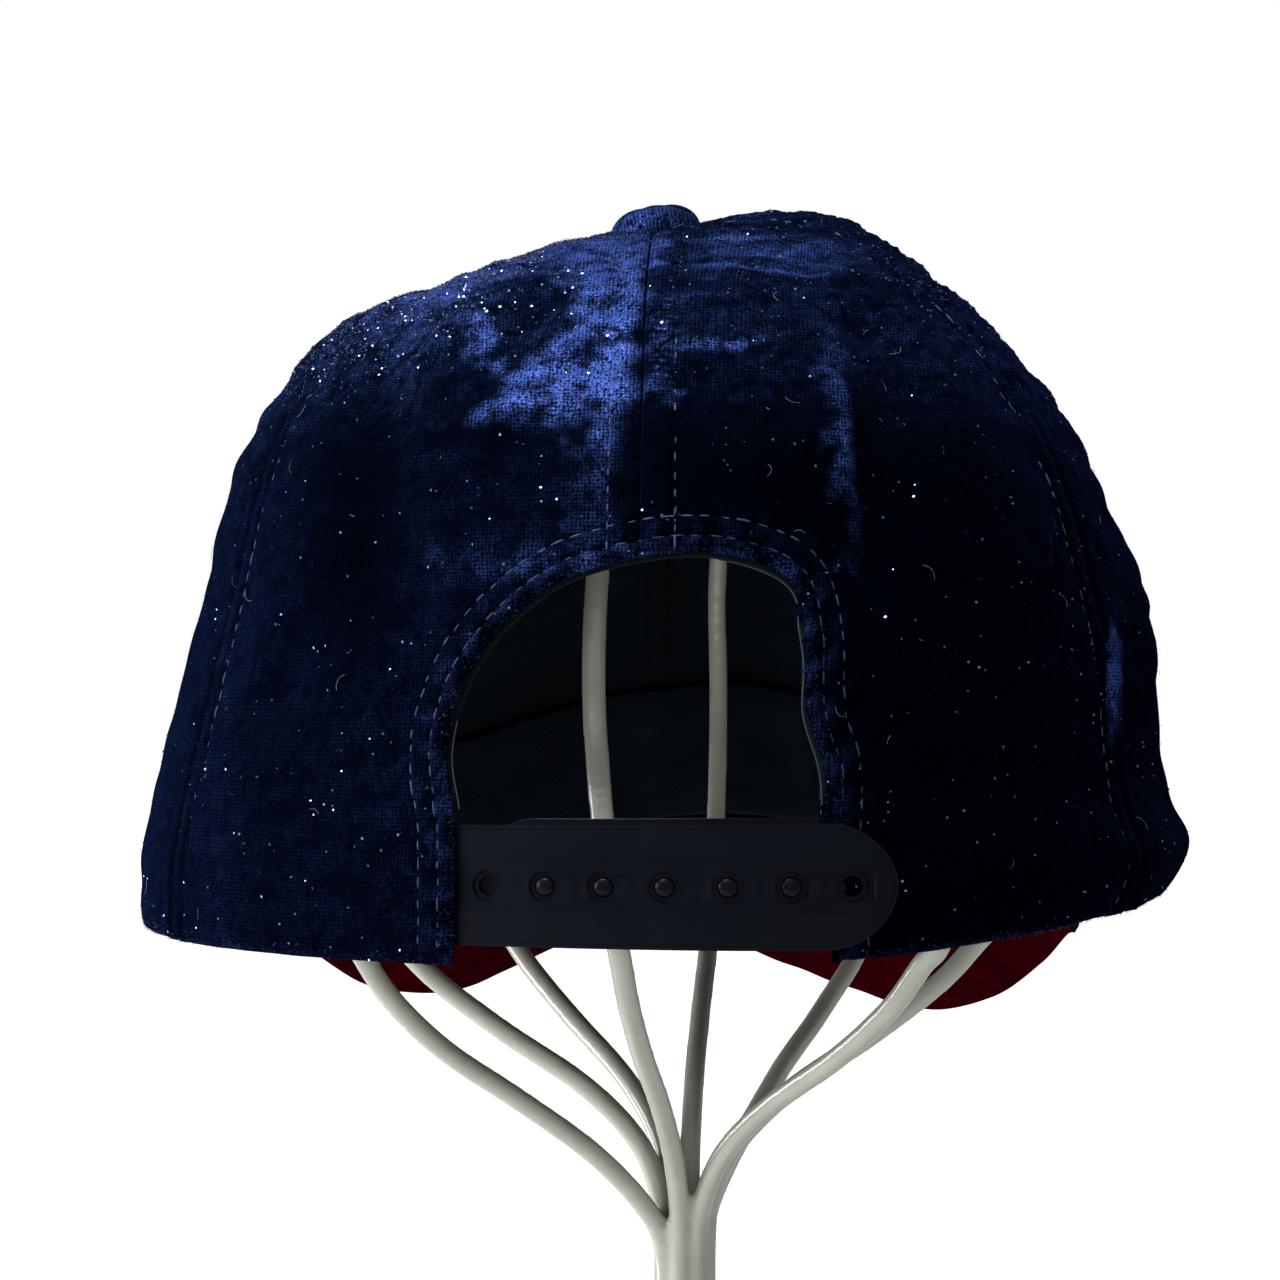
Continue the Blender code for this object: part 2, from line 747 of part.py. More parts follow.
clear_scene()
SECTION = {name: column(SECTIONS, SECTION_COLUMNS, name) for name in SECTION_COLUMNS}
CAP_PLACE = Vector((CAP_SHIFT, 0.0, RIM_FROM_FLOOR))
PIECES = make_collection("velvet_cap_on_wire_stand")
CUTTERS = make_collection("cutters", hidden=True)
NAVY_VELVET = make_material("navy_glitter_velvet", (0.010, 0.015, 0.055), 0.75, sheen=0.8)
RED_VELVET = make_material("burgundy_velvet", (0.12, 0.006, 0.012), 0.8, sheen=0.8)
BLACK_TWILL = make_material("black_lining_twill", (0.010, 0.014, 0.018), 0.85)
NAVY_PLASTIC = make_material("navy_snap_plastic", (0.014, 0.018, 0.032), 0.42)
DIPPED_WIRE = make_material("off_white_dip_coat", (0.62, 0.62, 0.59), 0.30)

make_crown()
make_button()
make_sweatband()
make_facing()
make_straps()
make_brim()
make_stand()
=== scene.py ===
import math

import bmesh
import bpy
import numpy as np
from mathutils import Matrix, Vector


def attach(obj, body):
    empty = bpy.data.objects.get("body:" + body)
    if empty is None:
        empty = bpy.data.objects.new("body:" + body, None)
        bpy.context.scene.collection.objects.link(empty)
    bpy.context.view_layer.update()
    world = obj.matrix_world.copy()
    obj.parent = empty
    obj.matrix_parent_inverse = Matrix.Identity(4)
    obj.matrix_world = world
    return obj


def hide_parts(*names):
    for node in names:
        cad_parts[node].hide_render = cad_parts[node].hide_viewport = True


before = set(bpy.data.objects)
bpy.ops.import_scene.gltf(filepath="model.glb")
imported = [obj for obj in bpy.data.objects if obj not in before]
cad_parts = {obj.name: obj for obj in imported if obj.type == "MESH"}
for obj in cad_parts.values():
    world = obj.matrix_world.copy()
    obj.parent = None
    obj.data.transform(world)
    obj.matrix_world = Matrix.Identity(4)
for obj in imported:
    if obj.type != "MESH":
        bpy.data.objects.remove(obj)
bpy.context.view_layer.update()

millimetre = 0.001
root = "root"

# The cap's cloth, in the same named sizes as the solids. Angles run from the back seam towards +X.
crown = {
    "width": 0.186,
    "depth": 0.190,
    "height": 0.125,
    "frontLift": 0.015,
    "frontTurn": 6.0,
    "panelBelly": 0.0016,
    "shift": 0.0053,
    "rimHeight": 0.200,
    "cloth": 0.0014,        # velvet and its lining together
    "wall": 0.0016,         # the solids' wall, which the straps, brim and cage are set from
    "seamRoll": 0.0008,     # how far the cloth turns in at a seam
    "seamStitch": 0.0053,   # from a seam to its row of stitches
    "weltRise": 0.00040,    # the tape under a seam lifts the cloth between its two rows
    "stitchDent": 0.00055,
    "pucker": 0.00026,
    "crush": 0.00060,
    "hemRoll": 0.0013,
}
sections = {   # from the rim to the apex, as shares of half the width or depth and of the height
    "left": (1.000, 1.000, 0.974, 0.894, 0.800, 0.630, 0.473, 0.301, 0.129, 0.043),
    "leftRise": (-0.016, 0.075, 0.176, 0.410, 0.668, 0.845, 0.895, 0.946, 0.982, 0.994),
    "right": (0.985, 1.031, 0.984, 0.948, 0.845, 0.662, 0.540, 0.378, 0.194, 0.043),
    "rightRise": (0.034, 0.105, 0.200, 0.416, 0.654, 0.846, 0.927, 1.014, 1.030, 1.000),
    "back": (1.000, 1.003, 0.990, 0.947, 0.835, 0.640, 0.505, 0.326, 0.147, 0.042),
    "backRise": (-0.016, 0.075, 0.183, 0.408, 0.664, 0.842, 0.900, 0.958, 0.988, 0.997),
    "front": (1.000, 1.010, 1.016, 1.005, 0.910, 0.695, 0.537, 0.347, 0.158, 0.042),
    "frontRise": (0.000, 0.084, 0.191, 0.416, 0.674, 0.868, 0.930, 0.975, 0.994, 0.998),
}
folds = (   # angle at its foot and its top, rise at each, depth (a valley is positive) and spread
    (24, 42, 0.36, 0.84, 0.032, 0.090),
    (-24, -38, 0.44, 0.86, 0.036, 0.085),
    (44, 32, 0.28, 0.52, 0.020, 0.090),
    (-36, -31, 0.28, 0.50, 0.018, 0.080),
    (-70, -76, 0.30, 0.54, -0.026, 0.090),
    (-92, -84, 0.32, 0.66, 0.024, 0.110),
    (84, 96, 0.30, 0.66, 0.020, 0.110),
    (150, 160, 0.34, 0.72, 0.018, 0.120),
    (-148, -156, 0.32, 0.68, 0.018, 0.120),
)
foldFade = 0.15
halfWidth = crown["width"] / 2
halfDepth = crown["depth"] / 2
capPlace = np.array((crown["shift"], 0.0, crown["rimHeight"]))
sections = {name: np.array(values) for name, values in sections.items()}

opening = {
    "width": 0.0575,
    "height": 0.0618,
    "edgeRoll": 0.0016,
    "firstStitch": 0.0025,
    "secondStitch": 0.0056,
    "bulge": 0.00035,
    "pucker": 0.00030,
    "out": (1.00, 1.00, 1.05, 0.88, 0.50, 0.05, -0.40, -0.80, -0.90, -0.91, -1.00, -0.99, -1.04),
    "rise": (0.00, 0.30, 0.52, 0.74, 0.91, 0.985, 1.00, 0.94, 0.80, 0.60, 0.45, 0.28, 0.00),
}


def smoothThrough(values, place):
    values = np.asarray(values, float)
    last = len(values) - 1
    reach = np.clip(place, 0.0, 1.0) * last
    low = np.minimum(reach.astype(int), last - 1)
    share = reach - low
    before = values[np.maximum(low - 1, 0)]
    start, end = values[low], values[low + 1]
    after = values[np.minimum(low + 2, last)]
    slopeIn = (end - before) / 2
    slopeOut = (after - start) / 2
    return (
        (2 * share**3 - 3 * share**2 + 1) * start
        + (share**3 - 2 * share**2 + share) * slopeIn
        + (3 * share**2 - 2 * share**3) * end
        + (share**3 - share**2) * slopeOut
    )


def ease(share):
    share = np.clip(share, 0.0, 1.0)
    return share * share * (3 - 2 * share)


def ripple(along, across, size, seed, waves=9):
    # smooth seeded unevenness, about -1 to 1
    dice = np.random.default_rng(seed)
    along, across = np.broadcast_arrays(np.asarray(along, float), np.asarray(across, float))
    total = np.zeros(along.shape)
    for _ in range(waves):
        turn = dice.uniform(0, 2 * math.pi)
        length = size * dice.uniform(0.6, 1.7)
        phase = dice.uniform(0, 2 * math.pi)
        total += np.sin(2 * math.pi * (along * math.cos(turn) + across * math.sin(turn)) / length + phase)
    return total / math.sqrt(waves)


def foldDepth(angle, rise):
    total = np.zeros_like(rise)
    for lowAngle, highAngle, low, high, depth, spread in folds:
        along = (rise - low) / (high - low)
        middle = lowAngle + (highAngle - lowAngle) * along
        turn = (angle - middle + 180) % 360 - 180
        window = ease((along + foldFade) / 0.4) * ease((1 + foldFade - along) / 0.4)
        total += depth * halfWidth * window * np.exp(-(np.radians(turn) / spread) ** 2)
    return total


def crownBase(angle, station):
    angle = np.asarray(angle, float)
    station = np.asarray(station, float)
    angle, station = np.broadcast_arrays(angle, station)
    turn = np.radians(angle)
    sine, cosine = np.sin(turn), np.cos(turn)
    onLeft, atBack = sine >= 0, cosine >= 0
    pick = lambda name: smoothThrough(sections[name], station)
    reachX = halfWidth * np.where(onLeft, pick("left"), pick("right"))
    reachY = halfDepth * np.where(atBack, pick("back"), pick("front"))
    sideRise = np.where(onLeft, pick("leftRise"), pick("rightRise"))
    endRise = np.where(atBack, pick("backRise"), pick("frontRise"))
    rise = sideRise * sine**2 + endRise * cosine**2
    swell = crown["panelBelly"] * np.abs(np.sin(3 * turn))
    swell = swell * (0.35 + 0.65 * np.sin(math.pi * np.minimum(station * 1.15, 1.0)))
    out = swell - foldDepth(angle, rise)
    lift = crown["frontLift"] * np.maximum(0, -np.cos(np.radians(angle - crown["frontTurn"]))) ** 6
    x = (reachX + out) * sine
    y = (reachY + out) * cosine
    z = crown["height"] * rise + lift * (1 - np.clip(station, 0, 1)) ** 1.5
    return np.stack([x, y, z], axis=-1)


def clothNormal(angle, station):
    step = 0.006
    high = np.minimum(station + step, 1.0)
    low = np.maximum(station - step, 0.0)
    up = crownBase(angle, high) - crownBase(angle, low)
    around = crownBase(angle + 0.4, station) - crownBase(angle - 0.4, station)
    normal = np.cross(up, around)
    return normal / np.linalg.norm(normal, axis=-1, keepdims=True)


def stationAt(angle, height):
    # where the cloth reaches a height over the rear rim
    angle, height = np.broadcast_arrays(np.asarray(angle, float), np.asarray(height, float))
    low, high = np.zeros_like(height), np.ones_like(height)
    for _ in range(22):
        middle = (low + high) / 2
        under = crownBase(angle, middle)[..., 2] < height
        low = np.where(under, middle, low)
        high = np.where(under, high, middle)
    return (low + high) / 2


def backAt(x, height):
    # angle and station of the point at the back with this sideways place and height
    angle = np.degrees(np.arcsin(np.asarray(x, float) / halfDepth))
    for _ in range(8):
        station = stationAt(angle, height)
        angle = angle + np.degrees((x - crownBase(angle, station)[..., 0]) / halfDepth)
    return angle, stationAt(angle, height)


def capPoint(angle, station, out=0.0):
    angle, station = np.broadcast_arrays(np.asarray(angle, float), np.asarray(station, float))
    point = crownBase(angle, station)
    out = np.asarray(out, float)
    return point + clothNormal(angle, station) * np.broadcast_to(out, station.shape)[..., None] + capPlace


def archLine(count=260):
    places = np.linspace(0, 1, count)
    x = smoothThrough(opening["out"], places) * opening["width"] / 2
    height = smoothThrough(opening["rise"], places) * opening["height"]
    return np.stack([x, height], axis=-1)


archEdge = archLine()


def archDistance(points):
    # how far cloth points lie outside the half-moon opening, by x and height
    flat = points[..., [0, 2]].reshape(-1, 2)
    nearest = np.empty(len(flat))
    batch = 4000
    for first in range(0, len(flat), batch):
        part = flat[first:first + batch]
        nearest[first:first + batch] = np.linalg.norm(part[:, None] - archEdge[None], axis=2).min(axis=1)
    return nearest.reshape(points.shape[:-1])


# Where the cloth lies along and across: shared by seams, stitches and the woven pattern
heightTable = np.linspace(0, 1, 200)
profile = crownBase(np.full_like(heightTable, 30.0), heightTable)   # up the middle of a gore
runTable = np.concatenate([[0], np.cumsum(np.linalg.norm(np.diff(profile, axis=0), axis=1))])
crownRun = runTable[-1]


def planRadius(station):
    return np.interp(station, heightTable, np.hypot(profile[:, 0], profile[:, 1]))


def runAt(station):
    return np.interp(station, heightTable, runTable)


def stationOfRun(run):
    return np.interp(run, runTable, heightTable)


def rollIn(distance, radius):
    # how far a turned edge has dropped at this distance from its outer line
    left = np.clip(radius - distance, 0, radius)
    return radius - np.sqrt(np.maximum(radius**2 - left**2, 0))


creases = (   # name, angle, run from the rim, lean, half length, half width and depth, lengths in mm
    ("overSeamA", 3, 106, 4, 9, 1.3, 0.50),
    ("overSeamB", 5, 98, 10, 9, 1.4, 0.50),
    ("overSeamC", -4, 112, -5, 10, 1.4, 0.50),
    ("overSeamD", -6, 102, 8, 10, 1.4, 0.45),
    ("overSeamE", -8, 94, 12, 9, 1.5, 0.45),
    ("streakA", 13, 103, -41, 10, 2.0, 0.75),
    ("streakB", 10, 98, -27, 10, 1.9, 0.70),
    ("streakC", 7, 94, -13, 9, 1.7, 0.60),
    ("streakD", 9, 89, -14, 9, 1.8, 0.50),
    ("hollow", 18, 111, -60, 10, 4.5, 0.90),
    ("topLeft", 30, 118, 25, 15, 3.0, 0.70),
    ("rightA", -20, 146, 4, 8, 1.6, 0.45),
    ("rightB", -21, 128, 10, 9, 1.7, 0.45),
    ("rightC", -11, 104, -6, 6, 1.4, 0.45),
    ("rightFold", -26, 84, 86, 26, 2.2, 1.10),
    ("rightFoldLow", -24, 60, 80, 12, 2.0, 0.60),
    ("leftPullA", 25.5, 46, 49, 8, 1.5, 0.55),
    ("leftPullB", 21, 48, -60, 11, 1.6, 0.50),
    ("leftPullC", 30, 40, 62, 7, 1.4, 0.35),
    ("rightPullA", -22, 41, -62, 7, 1.5, 0.60),
    ("rightPullB", -26, 36, -48, 7, 1.5, 0.45),
    ("sideRightA", -52, 66, -75, 12, 1.9, 0.65),
    ("sideRightB", -60, 46, -84, 10, 1.8, 0.60),
)
napAndPaintedLightPatches = (   # where the pile was brushed towards the light, or away from it, and where light and shade fall on the crown: painted highlight where the strength is positive, painted shade where it is negative; as above, ending in strength
    ("streakA", 12.5, 100, -41, 9, 2.4, 1.00),
    ("streakB", 10, 96, -27, 10, 2.2, 1.00),
    ("streakC", 7, 92, -12, 9, 2.0, 0.95),
    ("spot", 23, 104.5, 70, 4, 3.0, 0.75),
    ("besideSeam", 9, 122, 88, 22, 6.0, 0.50),
    ("onWelt", 3.2, 115, 96, 30, 2.6, 0.70),
    ("leftEdge", 48, 136, 150, 24, 8.0, 0.52),
    ("leftShoulder", 40, 122, 160, 14, 5.0, 0.35),
    ("hollow", 17.5, 112, -62, 9, 4.4, -0.60),
    ("hollowLow", 24, 96, 60, 8, 5.0, -0.30),
    ("rightA", -19, 146, 2, 8, 1.6, 0.60),
    ("rightB", -20.5, 128, 8, 9, 1.7, 0.55),
    ("rightC", -10, 104, -6, 6, 1.5, 0.50),
    ("rightTop", -29, 136, 12, 18, 6.0, 0.30),
    ("rightFold", -23.5, 84, 86, 26, 3.6, 0.44),
    ("weltDark", -3.2, 128, 96, 24, 2.4, -0.30),
    ("leftShade", 40, 70, 80, 26, 12, -0.02),
    ("rightSide", -61, 45, 92, 10, 2.8, 0.55),
    ("rightSideHigh", -52.5, 69, 100, 6, 2.2, 0.40),
    ("overArch", -2, 63.5, 0, 24, 2.4, 0.35),
    ("rightPanel", -38, 60, 90, 60, 30, -0.45),
)


def fromPlace(angle, station, turn, run, lean):
    # distances along and across a line on the cloth, in metres
    along = runAt(station)
    across = np.radians(angle) * planRadius(station)
    centreRun = run * millimetre
    centre = math.radians(turn) * planRadius(stationOfRun(np.array(centreRun)))
    sine, cosine = math.sin(math.radians(lean)), math.cos(math.radians(lean))
    forward = (across - centre) * cosine + (along - centreRun) * sine
    aside = (along - centreRun) * cosine - (across - centre) * sine
    return forward, aside


def creaseDepth(angle, station):
    total = np.zeros_like(station)
    for name, turn, run, lean, reach, width, depth in creases:
        forward, aside = fromPlace(angle, station, turn, run, lean)
        bend = aside - 0.12 * forward**2 / (reach * millimetre)
        total += depth * millimetre * np.exp(-(forward / (reach * millimetre)) ** 2) * (
            np.exp(-(bend / (width * millimetre)) ** 2)
            - 0.6 * np.exp(-((bend - 1.9 * width * millimetre) / (1.3 * width * millimetre)) ** 2)
        )
    return total


def napAndPaintedLightShare(angle, station):
    # how far the pile leans to the light at each point, 0 to 1, with painted highlight and painted shade laid
    # in: lighter towards the top and on the lamp side, darker on the far side and in hollows
    along = runAt(station)
    across = np.radians(angle) * planRadius(station)
    streaks = ripple(along * 1.7 + across * 0.35, across * 0.55 - along * 0.2, 0.0075, 41)
    clouds = ripple(along, across, 0.030, 42)
    warp = ripple(along, across, 0.011, 43)
    fine = ripple(along, across, 0.0042, 44)
    total = 0.017 + 0.004 * streaks + 0.005 * clouds
    # painted highlight: the cloth drawn lighter towards the top, where the overhead lamp falls
    total = total + 0.08 * ease((along - 0.084) / 0.030) * (1 + 0.6 * streaks + 0.6 * clouds)
    # painted shade: the cap's right side, away from the lamps, drawn darker
    total = total * np.where(across > 0, 1.0, 0.6)
    # painted highlight: bright rungs on the welt where its puckers catch the light
    rungs = np.maximum(0, np.sin(2 * math.pi * (along + 0.05 * across) / 0.0015)) ** 3
    onWelt = ease((-across - 0.0006) / 0.001) * ease((across + 0.0054) / 0.001)
    total += 0.30 * rungs * onWelt * ease((along - 0.092) / 0.004) * ease((0.118 - along) / 0.004)
    for name, turn, run, lean, reach, width, strength in napAndPaintedLightPatches:
        forward, aside = fromPlace(angle, station, turn, run, lean)
        forward = forward + 0.0030 * warp + 0.0008 * fine
        aside = aside + 0.0011 * warp + 0.0006 * fine
        ragged = 1 + (0.35 if turn > 0 else 0.15) * streaks + 0.25 * fine
        total += strength * ragged * np.exp(
            -(forward / (reach * millimetre)) ** 2 - (aside / (width * millimetre)) ** 2
        ) * (np.abs(angle) < 80)
    least = 0.045 * ease((along - 0.080) / 0.030) * (1 + 0.5 * fine)   # painted highlight: near the top no patch goes quite dark
    return np.clip(total, np.maximum(least, 0), 1)


def clothDetail(angle, station, points, back):
    # inward depth of seams, stitch rows, puckers and crushed cloth, on top of the crown's own form
    along = runAt(station)
    radius = np.maximum(planRadius(station), 0.003)
    across = np.radians(angle) * radius
    fromSeam = np.abs((angle + 30) % 60 - 30) * math.pi / 180 * radius
    nearSeam = np.rint(np.asarray(angle) / 60)
    depth = rollIn(fromSeam, crown["seamRoll"])
    depth += rollIn(along, crown["hemRoll"])
    row = crown["seamStitch"]
    welt = ease((fromSeam - 0.0004) / 0.0012) * ease((row + 0.0004 - fromSeam) / 0.0012)
    depth -= crown["weltRise"] * welt
    beat = 0.65 + 0.35 * np.sin(2 * math.pi * along / 0.0031 + nearSeam)
    depth += crown["stitchDent"] * beat * np.exp(-((fromSeam - row) / 0.00055) ** 2)
    atBack = 0.35 + 0.65 * (np.abs(angle) < 30)
    rungs = ripple(along, fromSeam * 0.35, 0.0042, 11) + ripple(along, fromSeam * 0.2, 0.009, 12)
    rungs = rungs * 0.6 * atBack
    ladder = 1.0 + 1.3 * np.exp(-((along - 0.106) / 0.016) ** 2) * (np.abs(angle) < 30)
    depth += crown["pucker"] * rungs * ladder * np.exp(-fromSeam / 0.0095) * ease(fromSeam / 0.001)
    crush = ripple(along * 1.5, across, 0.021, 21) * 0.7 + ripple(along, across, 0.010, 22) * 0.34
    depth += crown["crush"] * crush * (0.45 + 0.55 * ease((along - 0.045) / 0.06)) * ease(fromSeam / 0.006)
    if back:
        depth += creaseDepth(angle, station)
        edge = archDistance(points)
        nearEdge = np.exp(-edge / 0.012)
        depth = depth * (1 - 0.75 * nearEdge) + rollIn(edge, opening["edgeRoll"])
        first, second = opening["firstStitch"], opening["secondStitch"]
        for low, high, part in ((0.0004, first, 1.0), (first, second, 0.75)):
            middle = np.clip((edge - low) / (high - low), 0, 1)
            depth -= opening["bulge"] * part * np.sin(math.pi * middle)
        aroundEdge = np.arctan2(points[..., 0], points[..., 2] + 0.004) * 0.042
        for place, part in ((first, 1.0), (second, 0.8)):
            beat = 0.7 + 0.3 * np.sin(2 * math.pi * aroundEdge / 0.0029)
            depth += crown["stitchDent"] * part * beat * np.exp(-((edge - place) / 0.00050) ** 2)
        gathers = ripple(aroundEdge, edge * 0.3, 0.0050, 31) * np.exp(-(edge / 0.0065) ** 2)
        depth += opening["pucker"] * gathers * ease(edge / 0.0008)
    return depth


def clothPoint(angle, station, back=False, out=0.0):
    angle, station = np.broadcast_arrays(np.asarray(angle, float), np.asarray(station, float))
    points = crownBase(angle, station)
    depth = clothDetail(angle, station, points, back)
    return points + clothNormal(angle, station) * (out - depth)[..., None] + capPlace


def placed(name, mesh):
    made = bpy.data.objects.new(name, mesh)
    bpy.context.scene.collection.objects.link(made)
    return made


def fromForm(name, form):
    mesh = bpy.data.meshes.new(name)
    form.to_mesh(mesh)
    form.free()
    return placed(name, mesh)


def joined(name, parts):
    form = bmesh.new()
    for part in parts:
        form.from_mesh(part.data)
        bpy.data.objects.remove(part, do_unlink=True)
    return fromForm(name, form)


def cleaned(piece, merge=0.0, fill=False):
    # doubles merged, open ends closed, faces outward
    form = bmesh.new()
    form.from_mesh(piece.data)
    if merge:
        bmesh.ops.remove_doubles(form, verts=form.verts, dist=merge)
    if fill:
        bmesh.ops.holes_fill(form, edges=form.edges, sides=0)
    bmesh.ops.recalc_face_normals(form, faces=form.faces)
    form.to_mesh(piece.data)
    form.free()
    return piece


def gridObject(name, points, maps, napAndPaintedLight=None, flip=False, closed=False):
    # a mesh over a grid of points, with its own map in metres along and across the cloth, and where given a
    # share of nap with painted highlight and painted shade
    columns, rows = points.shape[0], points.shape[1]
    index = np.arange(columns * rows).reshape(columns, rows)
    if closed:
        index = np.concatenate([index, index[:1]], axis=0)
    quads = np.stack([index[:-1, :-1], index[1:, :-1], index[1:, 1:], index[:-1, 1:]], axis=-1).reshape(-1, 4)
    if flip:
        quads = quads[:, ::-1]
    mesh = bpy.data.meshes.new(name)
    mesh.from_pydata(points.reshape(-1, 3).tolist(), [], quads.tolist())
    uvs = mesh.uv_layers.new(name="cloth")
    corners = np.empty(len(mesh.loops), np.int32)
    mesh.loops.foreach_get("vertex_index", corners)
    uvs.data.foreach_set("uv", maps.reshape(-1, 2)[corners].astype(np.float32).ravel())
    if napAndPaintedLight is not None:
        store(mesh, "napAndPaintedLight", napAndPaintedLight)
    mesh.shade_smooth()
    return placed(name, mesh)


def store(mesh, name, values):
    layer = mesh.attributes.new(name, "FLOAT", "POINT")
    layer.data.foreach_set("value", np.asarray(values, np.float32).ravel())


def applied(source, name):
    # the evaluated object as a plain mesh at the origin
    graph = bpy.context.evaluated_depsgraph_get()
    mesh = bpy.data.meshes.new_from_object(source.evaluated_get(graph), depsgraph=graph)
    mesh.transform(source.matrix_world)
    bpy.data.objects.remove(source, do_unlink=True)
    return placed(name, mesh)


def thicken(piece, depth, inside=1, rim=0, offset=-1.0):
    wall = piece.modifiers.new("thickness", "SOLIDIFY")
    wall.thickness = depth
    wall.offset = offset
    wall.material_offset = inside
    wall.material_offset_rim = rim
    name = piece.name
    piece.name = name + "Sheet"
    return applied(piece, name)


def giveMaterials(piece, *materials):
    piece.data.materials.clear()
    for material in materials:
        piece.data.materials.append(material)


def finishPiece(piece, slot, *nodes):
    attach(piece, root)
    if nodes:
        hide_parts(*nodes)
    return piece


# Materials
def linear(code):
    # sRGB hex to linear
    parts = [int(code[place:place + 2], 16) / 255 for place in (1, 3, 5)]
    return tuple(part / 12.92 if part <= 0.04045 else ((part + 0.055) / 1.055) ** 2.4
                 for part in parts) + (1.0,)


def addNode(tree, kind, inputs=None, links=None, **settings):
    node = tree.nodes.new(kind)
    for name, value in settings.items():
        setattr(node, name, value)
    for name, value in (inputs or {}).items():
        node.inputs[name].default_value = value
    for name, source in (links or {}).items():
        tree.links.new(source, node.inputs[name])
    return node


def newMaterial(name, **inputs):
    material = bpy.data.materials.new(name)
    material.use_nodes = True
    shader = material.node_tree.nodes["Principled BSDF"]
    for socket, value in inputs.items():
        shader.inputs[socket.replace("_", " ")].default_value = value
    return material, material.node_tree, shader


def blend(tree, factor, first, second):
    # two hex colours mixed by a factor
    mix = addNode(tree, "ShaderNodeMix", None, {"Factor": factor}, data_type="RGBA")
    mix.inputs[6].default_value = linear(first)
    mix.inputs[7].default_value = linear(second)
    return mix.outputs[2]


def waveScale(period):
    return 2 * math.pi / 20 / period


velvetLook = {
    "navyDeep": "#01030b",
    "navyLit": "#4058a4",
    "navySheen": "#5a76e8",
    "redDeep": "#150005",
    "redLit": "#6c0615",
    "redSheen": "#c81e32",
    "rib": 0.00062,      # the knit ground's rows under the pile
    "tuft": 0.00055,     # tufts are finer in the real pile; drawn this coarse to show
    "napAndPaintedLight": 0.0040,       # size of the streaks where the pile was brushed another way; they also break up the painted highlight
}


def pileVelvet(name, deep, lit, sheenTint, metallic, napped):
    # cut-pile polyester velvet on a knit ground: dark face on, bright where the pile lies back to the light;
    # the share read from the cloth also carries painted highlight and painted shade into the colour and the
    # metallic
    material, tree, shader = newMaterial(name, Sheen_Weight=0.05, Sheen_Roughness=0.3,
                                         Sheen_Tint=linear(sheenTint), Specular_IOR_Level=0.0,
                                         Specular_Tint=linear(sheenTint))
    spot = addNode(tree, "ShaderNodeTexCoord").outputs
    if napped:
        # per-point share of nap with painted highlight and painted shade
        napAndPaintedLight = addNode(tree, "ShaderNodeAttribute", attribute_name="napAndPaintedLight").outputs["Fac"]
    else:
        clouds = addNode(tree, "ShaderNodeTexNoise", {"Scale": 1 / 0.012, "Detail": 3.0},
                         {"Vector": spot["Object"]})
        patches = addNode(tree, "ShaderNodeMapRange", {"From Min": 0.35, "From Max": 0.75, "To Min": 0.10,
                                                       "To Max": 0.34}, {"Value": clouds.outputs["Fac"]})
        napAndPaintedLight = patches.outputs["Result"]
    streaks = addNode(tree, "ShaderNodeTexNoise", {"Scale": 1 / velvetLook["napAndPaintedLight"], "Detail": 4.0,
                                                   "Roughness": 0.68, "Distortion": 0.9},
                      {"Vector": spot["Object"]})
    tuft = addNode(tree, "ShaderNodeTexNoise",
                   {"Scale": 1 / velvetLook["tuft"], "Detail": 1.0, "Roughness": 0.7},
                   {"Vector": spot["Object"]})
    rows = waveScale(velvetLook["rib"])
    weft, warp = [
        addNode(tree, "ShaderNodeTexWave", {"Scale": scale, "Distortion": bend, "Detail": 2.0,
                                            "Detail Scale": 1.4}, {"Vector": spot["UV"]}, bands_direction=way)
        for scale, bend, way in ((rows, 3.2, "Y"), (rows * 0.9, 3.8, "X"))]
    ground = addNode(tree, "ShaderNodeMath", None, {0: weft.outputs["Fac"], 1: warp.outputs["Fac"]},
                     operation="MULTIPLY")
    grain = addNode(tree, "ShaderNodeMath", {1: 0.45}, {0: ground.outputs[0], 2: tuft.outputs["Fac"]},
                    operation="MULTIPLY_ADD")
    speck = addNode(tree, "ShaderNodeMapRange", {"From Min": 0.40, "From Max": 0.95, "To Min": 0.05,
                                                 "To Max": 2.4}, {"Value": grain.outputs[0]})
    uneven = addNode(tree, "ShaderNodeMapRange", {"From Min": 0.36, "From Max": 0.64,
                                                  "To Min": 0.15 if napped else 0.75,
                                                  "To Max": 1.7 if napped else 1.15},
                     {"Value": streaks.outputs["Fac"]})
    raised = addNode(tree, "ShaderNodeMath", None, {0: napAndPaintedLight, 1: uneven.outputs[0]}, operation="MULTIPLY")
    share = addNode(tree, "ShaderNodeMath", None, {0: raised.outputs[0], 1: speck.outputs[0]},
                    operation="MULTIPLY", use_clamp=True)
    tree.links.new(blend(tree, share.outputs[0], deep, lit), shader.inputs["Base Color"])
    shine = addNode(tree, "ShaderNodeMath", {1: metallic}, {0: share.outputs[0]}, operation="MULTIPLY")
    tree.links.new(shine.outputs[0], shader.inputs["Metallic"])
    gloss = addNode(tree, "ShaderNodeMapRange", {"To Min": 0.62, "To Max": 0.42}, {"Value": share.outputs[0]})
    tree.links.new(gloss.outputs[0], shader.inputs["Roughness"])
    lean = addNode(tree, "ShaderNodeBump", {"Strength": 0.6, "Distance": 0.0010},
                   {"Height": streaks.outputs["Fac"]})
    bump = addNode(tree, "ShaderNodeBump", {"Strength": 0.8, "Distance": 0.00030},
                   {"Height": grain.outputs[0], "Normal": lean.outputs[0]})
    tree.links.new(bump.outputs[0], shader.inputs["Normal"])
    return material


